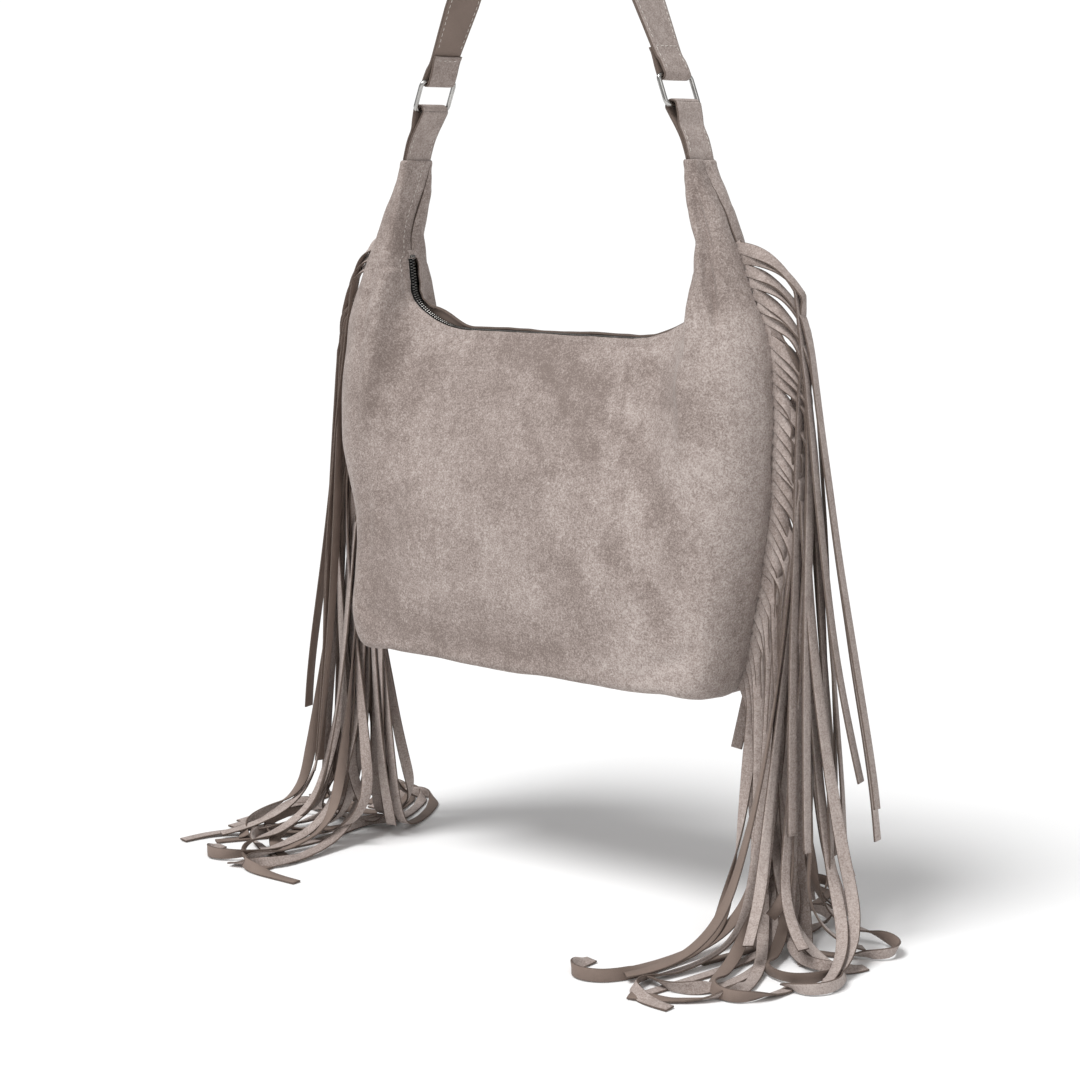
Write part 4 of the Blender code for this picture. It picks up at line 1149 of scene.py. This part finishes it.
    idx = np.arange(M - 2)
    b1, b2 = idx[(idx % 4) < 2], idx[(idx % 4) >= 2]
    idx = np.arange(M - 4)
    far = [idx[(idx % 8) < 4], idx[(idx % 8) >= 4]]
    wave = (0.04 + 0.20 * (s[None, :] / length[:, None]) ** 2) * rng.uniform(0.4, 1.2, (S, 1)) * 981 * dt
    way = rng.uniform(0, 2 * math.pi, (S, 1)) + 1.3 * np.sin(s[None, :] / 5.0 + rng.uniform(0, 6, (S, 1)))
    side_shift = np.where(side < 0, 200.0, 0.0)
    for n in range(total):
        if n < steps[0]:
            lift, phase = HIGH, 0
        elif n < steps[0] + steps[1]:
            t = (n - steps[0]) / steps[1]
            lift, phase = HIGH * (1 - t * t * (3 - 2 * t)), 1
        else:
            lift, phase = 0.0, 2
        low_floor = floor - lift  # the floor rises to the strands instead of the bag sinking
        X0 = X.copy()
        V *= 0.985 if phase < 2 else 0.95
        V += g * dt
        hang = np.clip((X[..., 2].mean(2) - (floor - lift) - 1.5) / 3.0, 0, 1) * wave
        V[..., 0] += (hang * np.cos(way))[..., None]
        V[..., 1] += (hang * np.sin(way))[..., None]
        loose = np.clip((12.0 - lift * 0 - X[..., 2].mean(2)) / 14.0, 0, 1) * np.clip(hang / wave, 0, 1) * 981 * dt
        V[..., 0] += (SPREAD * loose * (X[..., 0].mean(2) - 18.8))[..., None]
        V[..., 1] += (SPREAD * loose * (X[..., 1].mean(2) - MIDDLE))[..., None]
        up = np.clip((X[..., 2].mean(2) - np.where(side > 0, 4.0, -9.0)[:, None]) / 8.0, 0, 1)
        V[..., 1] += (0.14 * 981 * dt * up * np.clip(lean[:, None] - X[..., 1].mean(2), -1.5, 1.5))[..., None]
        if phase >= 1 and n < total - 70:
            c = X.mean(2)
            near = np.clip(1 - (c[..., 2] - low_floor) / REACH, 0, 1) * live
            ang = gx[:, None] + gy[:, None] * (s[None, :] - 26.0)
            f = near * pull[:, None] * 981 * dt
            V[..., 0] += (f * np.cos(ang))[..., None]
            V[..., 1] += (f * np.sin(ang))[..., None]
        np.clip(V, -55, 55, out=V)
        X = X + V * dt
        X = np.where(fast, pin, X)
        for it in range(iters):
            for p in (0, 1):
                a, b = X[:, p:M - 1:2], X[:, p + 1:M:2]
                m = min(a.shape[1], b.shape[1])
                a, b = a[:, :m], b[:, :m]
                wa = np.repeat(w[:, p:M - 1:2][:, :m, None], 2, 2)
                wb = np.repeat(w[:, p + 1:M:2][:, :m, None], 2, 2)
                ca, cb = pairfix(a, b, DS, 1.0, wa, wb)
                a += ca
                b -= cb
                # diagonals
                for q in (0, 1):
                    ca, cb = pairfix(a[:, :, q], b[:, :, 1 - q], diag, 0.6, wa[..., q], wb[..., q])
                    a[:, :, q] += ca
                    b[:, :, 1 - q] -= cb
            ca, cb = pairfix(X[:, :, 0], X[:, :, 1], WID, 1.0, w, w)
            X[:, :, 0] += ca
            X[:, :, 1] -= cb
            for gap, k0, parts in ((2, 0.30, (b1, b2)), (4, 0.16, far)):
                for ii in parts:
                    a, b = X[:, ii], X[:, ii + gap]
                    d = b - a
                    l = np.sqrt(np.einsum("...i,...i->...", d, d)) + 1e-9
                    wa, wb = w[:, ii][..., None], w[:, ii + gap][..., None]
                    k = np.where(l < (1 - 0.004 * gap) * gap * DS, k0, 0.0)
                    c = (k * (l - gap * DS) / l / np.maximum(wa + wb, 1e-9))[..., None] * d
                    X[:, ii] += c * wa[..., None]
                    X[:, ii + gap] -= c * wb[..., None]
            if it % 4 == 3:
                # body
                x, y, z = X[..., 0], X[..., 1], X[..., 2]
                big = np.interp(z, sect[:, 0], sect[:, 1]) + 0.10
                xf = np.interp(z, sect[:, 0], sect[:, 2])
                dep = np.interp(z, sect[:, 0], sect[:, 3]) + 0.12
                dx = np.maximum(x - xf, 0)
                f = (dx / (big - xf)) ** 2.2 + (np.abs(y) / dep) ** 2.2
                hit = (f < 1) & (z > -0.1) & (z < 34) & (w[..., None] > 0)
                sc = np.where(hit, np.maximum(f, 0.2) ** (-1 / 2.2), 1.0)
                X[..., 0] = np.where(dx > 0, xf + dx * sc, x)
                X[..., 1] = y * sc
                for axis, low, high in ((0, WALL[0], WALL[1]), (1, WALL[2], WALL[3])):
                    over = np.where(side > 0, high[0], high[1])[:, None, None]
                    under = np.where(side > 0, low[0], low[1])[:, None, None]
                    q = X[..., axis]
                    X[..., axis] = q - 0.5 * np.maximum(q - over, 0) + 0.5 * np.maximum(under - q, 0)
                lowz = X[..., 2] < low_floor
                X[..., 2] = np.where(lowz, low_floor, X[..., 2])
        X = np.where(fast, pin, X)
        # strands against each other
        if n % 5 == 0 or pairs is None:
            c = X.mean(2, keepdims=True)
            P = np.concatenate([X[:, :, :1], c, X[:, :, 1:]], 2).reshape(-1, 3).copy()
            Q = P.copy()
            Q[:, 0] += np.repeat(side_shift, M * 3)
            keep = np.nonzero(alive3)[0]
            a, b = neighbours(Q[keep], sid[keep], d0 + 0.5, 5)
            pairs = (keep[a], keep[b])
        for rep in range(2):
            c = X.mean(2, keepdims=True)
            P = np.concatenate([X[:, :, :1], c, X[:, :, 1:]], 2).reshape(-1, 3)
            a, b = pairs
            d = P[a] - P[b]
            l2 = np.einsum("ij,ij->i", d, d)
            hit = l2 < d0 * d0
            if hit.any():
                ai, bi, d, l = a[hit], b[hit], d[hit], np.sqrt(l2[hit]) + 1e-6
                c = (0.5 * (d0 - l) / l)[:, None] * d
                cnt = np.bincount(ai, minlength=len(P)) + np.bincount(bi, minlength=len(P))
                acc = np.stack([np.bincount(ai, c[:, k], len(P)) - np.bincount(bi, c[:, k], len(P))
                                for k in range(3)], 1)
                acc = (acc / np.maximum(cnt, 1)[:, None] * 1.1).reshape(S, M, 3, 3)
                acc *= w[..., None, None]
                X[:, :, 0] += acc[:, :, 0] + acc[:, :, 1]
                X[:, :, 1] += acc[:, :, 2] + acc[:, :, 1]
        # floor contact and friction
        low = X[..., 2] < low_floor + 0.05
        rub = 0.30 if phase == 2 else 0.12
        move = X - X0
        X[..., 0] = np.where(low, X0[..., 0] + move[..., 0] * (1 - rub), X[..., 0])
        X[..., 1] = np.where(low, X0[..., 1] + move[..., 1] * (1 - rub), X[..., 1])
        if phase == 2 and n > total - 110:
            X[..., :2] = np.where(low[..., None], X0[..., :2] + move[..., :2] * 0.15, X[..., :2])
        X[..., 2] = np.maximum(X[..., 2], low_floor)
        V = (X - X0) / dt
        if phase == 1:
            # the floor comes up: what lies on it moves with it
            nl = np.interp(n + 1, [steps[0], steps[0] + steps[1]], [0, 1])
        if log and n % 60 == 0:
            log(n, float(np.abs(V[live > 0]).mean()), X)
    # restore each row's spacing from the root down
    for i in range(2, M):
        for q in (0, 1):
            d = X[:, i, q] - X[:, i - 1, q]
            X[:, i, q] = X[:, i - 1, q] + d * (DS / np.maximum(np.linalg.norm(d, axis=1), 1e-6))[:, None]
    X[..., 2] = np.maximum(X[..., 2], floor)
    return X, last


def strand_rows():
    """One row per strand for simulate(): where it is sewn in and how it wants to fall."""
    rng = np.random.default_rng(11)
    tails_right = [(14.8, 5.6), (21.1, 4.2), (19.9, 4.3), (18.4, 15.6), (23.6, 8.3), (25, 3.6),
                   (26.7, -4.2), (26, -6), (25.3, -6.3), (22.1, -5.5), (21.8, -6.9), (18.5, -1),
                   (20.1, -1.8), (21, -2.1), (17.2, -5.1), (18.9, -9.6), (20.2, -13),
                   (16.8, -9.5), (15.7, -14.9), (23, -9), (24.5, 0), (17, 9), (21, -11)]
    tails_left = [(17.9, -8.4), (28.5, -1.4), (20.8, 10.9), (17.8, -7.4), (23, -5.9), (28, 8.8),
                  (26.9, 7.3), (22, 2), (26, 4), (27, 1), (25, -4), (21, -8.5), (24, 3), (26.5, 6),
                  (26, 2), (20, -5), (23, -2), (25, -2), (22.5, -6.5), (25, -7)]
    rows = []
    for side, n, tails in ((1, 38, tails_right), (-1, 38, tails_left)):
        pos, tan = seam_roots(n, 29.35, 0.9)
        tails = sorted(tails, key=lambda t: -math.hypot(t[0] - 18.3, t[1]))
        for i in range(n):
            k = n - 1 - i
            x, y = tails[k] if k < len(tails) else (18.3 + rng.uniform(0, 3), rng.uniform(-3, 3))
            length = rng.uniform(36.2, 37.8) - (3.0 if k < 7 else 0)
            if side > 0:
                column = (COLUMNS_R if pos[i, 1] > 17.5 or (pos[i, 1] > 9.5 and i % 2) else COLUMNS_R_LOW)[i % 6]
            else:
                column = (COLUMNS_L if pos[i, 1] > 9.5 else COLUMNS_L_LOW)[i % 6]
            rows.append((side, pos[i, 0], pos[i, 1], tan[i, 0], tan[i, 1], length,
                         column + rng.normal(0, 0.25), math.atan2(y, x - 18.3),
                         rng.normal(0, 0.016), 0.28 if k < len(tails) else 0.0))
    return np.array(rows)


def finer(q, by):
    """Catmull-Rom in between the rows of a strand's edge lines."""
    n = len(q) - 1
    return smooth3(q, np.linspace(0, 1, n * by + 1))


def smooth3(p, u):
    n = len(p) - 1
    x = np.clip(u * n, 0, n)
    i = np.minimum(x.astype(int), n - 1)
    f = (x - i).reshape(-1, *([1] * (p.ndim - 1)))
    a, b, c, d = (p[np.clip(i + k, 0, n)] for k in (-1, 0, 1, 2))
    return 0.5 * (2 * b + (c - a) * f + (2 * a - 5 * b + 4 * c - d) * f**2
                  + (3 * b - a - 3 * c + d) * f**3)


def make_fringe(side, X, last, rows):
    """All strands of one side: real strips with a napped face, a smooth back and cut edges."""
    half_t = 0.062
    rng = np.random.default_rng(77 if side > 0 else 78)
    verts, faces, pick, tones = [], [], [], []
    # across the strip: share of the width, share of the thickness, face kind of the next span
    shape = [(-0.93, 1, 0), (-0.4, 1, 0), (0.4, 1, 0), (0.93, 1, 2), (1, 0.45, 2), (1, -0.55, 2),
             (0.93, -1, 1), (0.0, -1, 1), (-0.93, -1, 2), (-1, -0.55, 2), (-1, 0.45, 2)]
    ns = len(shape)
    for i in np.nonzero(rows[:, 0] == side)[0]:
        e = finer(X[i, :last[i] + 1], 2)
        mid = e.mean(1)
        w = unit(e[:, 1] - e[:, 0])
        d = unit(np.gradient(mid, axis=0))
        w = unit(w - d * np.einsum("ij,ij->i", w, d)[:, None])
        n = -np.cross(d, w)
        wide = 0.41 * rng.uniform(0.93, 1.04) * (1 + 0.02 * waves(mid, int(i) + 500, 6.0, 4))
        cup = 0.03 * waves(mid, int(i) + 900, 9.0, 4)
        tone = np.clip(0.5 + rng.normal(0, 0.22), 0, 1)
        if side < 0:
            flip = np.array([-1, 1, 1])
            mid, w, n = mid * flip, w * flip, n * flip
        base = len(verts)
        m = len(mid)
        for k in range(m):
            for a, b, _ in shape:
                verts.append(mid[k] + w[k] * (a * wide[k]) + n[k] * (b * half_t + cup[k] * (a * a - 0.3)))
        for k in range(m - 1):
            for j in range(ns):
                q = (base + k * ns + j, base + k * ns + (j + 1) % ns,
                     base + (k + 1) * ns + (j + 1) % ns, base + (k + 1) * ns + j)
                faces.append(q)
                pick.append(shape[j][2])
        faces.append(tuple(base + j for j in range(ns - 1, -1, -1)))
        faces.append(tuple(base + (m - 1) * ns + j for j in range(ns)))
        pick += [2, 2]
        tones += [tone] * (m * ns)
    # the uncut margin of each fringe, sewn between the panels
    pos, tan = seam_roots(140, 29.75, 0.45)
    out = np.stack([-tan[:, 1], tan[:, 0]], 1)
    out *= np.sign(out[:, :1])
    base = len(verts)
    for k in range(len(pos)):
        for d, y in ((-0.10, -0.03), (0.12, -0.062), (0.30, -0.062), (0.30, 0.062), (0.12, 0.062), (-0.10, 0.03)):
            p = pos[k] + out[k] * d
            verts.append((side * p[0], y, p[1]))
    for k in range(len(pos) - 1):
        for j in range(6):
            faces.append((base + k * 6 + j, base + k * 6 + (j + 1) % 6,
                          base + (k + 1) * 6 + (j + 1) % 6, base + (k + 1) * 6 + j))
            pick.append((0, 0, 2, 1, 1, 2)[j])
    faces.append(tuple(base + j for j in range(5, -1, -1)))
    faces.append(tuple(base + (len(pos) - 1) * 6 + j for j in range(6)))
    pick += [2, 2]
    tones += [0.5] * (len(pos) * 6)
    name = "right" if side > 0 else "left"
    o = mesh_object(f"fringe_{name}_strands", place(np.array(verts)), faces, [STRAND, BACK, EDGE],
                    pick, tone=tones)
    bm = bmesh.new()
    bm.from_mesh(o.data)
    bmesh.ops.recalc_face_normals(bm, faces=bm.faces)
    bm.to_mesh(o.data)
    bm.free()
    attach(o, "body")
    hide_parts(f"fringe_{name}")
    return o


COLUMNS_R = (0.1, 2.9, 1.2, 4.2, 0.6, 2.0)
COLUMNS_R_LOW = (-4.4, -1.2, -3.0, 0.8, -3.9, -2.1)
COLUMNS_L = (-1.3, 2.6, 0.4, 4.0, -0.5, 1.6)
COLUMNS_L_LOW = (6.6, 3.0, 7.4, 4.6, 0.6, 5.8)


# ------------------------------------------------------------------ floor and light
def make_stage():
    m = Nodes("floor_paper")
    cloud = m.noise(1.3, 2.0)
    m.colour(m.ramp(cloud, [(0.3, (0.93, 0.93, 0.93)), (0.7, (0.95, 0.95, 0.95))]))
    m.put(Roughness=0.9, Specular_IOR_Level=0.0)
    bm = bmesh.new()
    bmesh.ops.create_circle(bm, cap_ends=True, segments=96, radius=9.0)
    me = bpy.data.meshes.new("floor")
    bm.to_mesh(me)
    bm.free()
    me.materials.append(m.mat)
    floor = bpy.data.objects.new("floor", me)
    floor.location = (0, 0, float(place((0, 0, FLOOR_Z))[2]) - 0.0003)
    bpy.context.scene.collection.objects.link(floor)
    # a white surround that only the camera sees
    glow = bpy.data.materials.new("surround")
    glow.use_nodes = True
    t = glow.node_tree
    t.nodes.clear()
    em = t.nodes.new("ShaderNodeEmission")
    em.inputs["Color"].default_value = (1, 1, 1, 1)
    em.inputs["Strength"].default_value = 1.05
    t.links.new(em.outputs[0], t.nodes.new("ShaderNodeOutputMaterial").inputs["Surface"])
    bm = bmesh.new()
    bmesh.ops.create_uvsphere(bm, u_segments=64, v_segments=32, radius=9.0)
    me = bpy.data.meshes.new("surround")
    bm.to_mesh(me)
    bm.free()
    me.materials.append(glow)
    dome = bpy.data.objects.new("surround", me)
    dome.visible_diffuse = dome.visible_glossy = dome.visible_shadow = False
    dome.visible_transmission = dome.visible_volume_scatter = False
    bpy.context.scene.collection.objects.link(dome)


def area_light(name, azimuth, height, far, size, power, aim=(0, 0, -0.35), colour=(1, 1, 1)):
    a, h = math.radians(azimuth), math.radians(height)
    aim = Vector(aim)
    spot = aim + Vector((math.sin(a) * math.cos(h), -math.cos(a) * math.cos(h), math.sin(h))) * far
    data = bpy.data.lights.new(name, "AREA")
    data.shape = "DISK"
    data.size = size
    data.energy = power
    data.color = colour
    o = bpy.data.objects.new(name, data)
    o.matrix_world = Matrix.Translation(spot) @ (aim - spot).to_track_quat("-Z", "Y").to_matrix().to_4x4()
    bpy.context.scene.collection.objects.link(o)


def make_light():
    world = bpy.data.worlds.new("studio")
    world.use_nodes = True
    bg = world.node_tree.nodes["Background"]
    bg.inputs["Color"].default_value = (1.0, 1.0, 1.0, 1)
    bg.inputs["Strength"].default_value = WORLD
    bpy.context.scene.world = world
    # azimuth is counted from the front towards the bag's right
    data = bpy.data.lights.new("key", "SUN")
    data.energy = KEY
    data.angle = 0.42
    sun = bpy.data.objects.new("key", data)
    a, h = math.radians(-12), math.radians(57)
    way = Vector((math.sin(a) * math.cos(h), -math.cos(a) * math.cos(h), math.sin(h)))
    sun.matrix_world = way.to_track_quat("Z", "Y").to_matrix().to_4x4()
    bpy.context.scene.collection.objects.link(sun)
    area_light("fill", 62, 30, 2.6, 1.6, FILL)


WORLD, KEY, FILL = 0.42, 2.65, 8.0


# ------------------------------------------------------------------ build
make_stage()
make_light()
make_panel(True)
make_panel(False)
make_lining()
make_zip()
for side in (1, -1):
    make_ring(side)
    make_tab(side)
make_strap()

for name, dist, lo, hi, free in (
        ("front", 0.80, -0.985, -0.60, True), ("front", 0.55, 0.72, 0.985, True),
        ("back", 0.55, 0.72, 0.985, True)):
    pts, nor = panel_line(name, dist, lo, hi, free)
    stitch_line(f"stitch_{name}_{'l' if hi < 0 else 'r' if lo > 0 else 'zip'}", pts, nor,
                length=0.20, gap=0.16, radius=0.022, lift=0.004)

# end stops: a dark cramp over both rows of teeth at each end
for name, side in (("zip_stop_left", -1), ("zip_stop_right", 1)):
    bm = bmesh.new()
    bmesh.ops.create_cube(bm, size=1.0)
    for v in bm.verts:
        v.co = Vector(place((side * (12.84 - 0.10 + v.co.x * 0.12), v.co.y * 0.46, 28.16 + v.co.z * 0.16)))
    bmesh.ops.bevel(bm, geom=list(bm.edges), offset=0.00025, segments=2, affect="EDGES")
    me = bpy.data.meshes.new(name + "_cramp")
    bm.to_mesh(me)
    bm.free()
    me.materials.append(DARK_METAL)
    me.shade_smooth()
    o = bpy.data.objects.new(name + "_cramp", me)
    bpy.context.scene.collection.objects.link(o)
    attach(o, "body")
    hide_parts(name)

# the turned-in suede that closes the zip's window at its left end
w, h = 9, 5
top_z = ZIP_END_Z
g = np.zeros((w, h, 3))
for i in range(w):
    for j in range(h):
        y = -0.47 + 0.94 * i / (w - 1)
        g[i, j] = (-(12.80 - 0.05 * (1 - (y / 0.5) ** 2)), y, top_z - 0.30 + 0.62 * j / (h - 1))
cover = shell("zip_end_fold", place(g), place(g + (-0.07, 0, 0.0)), [SUEDE, BACK, EDGE], False)
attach(cover, "body")

for name in ("zip_slider", "zip_pull"):
    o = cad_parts[name]
    o.data.materials.clear()
    o.data.materials.append(NICKEL)
    b = o.modifiers.new("soft_edges", "BEVEL")
    b.width = 0.00012
    b.segments = 2
    b.limit_method = "ANGLE"

ROWS = strand_rows()
STRANDS, LAST = simulate(ROWS, 3)
for side in (1, -1):
    make_fringe(side, STRANDS, LAST, ROWS)
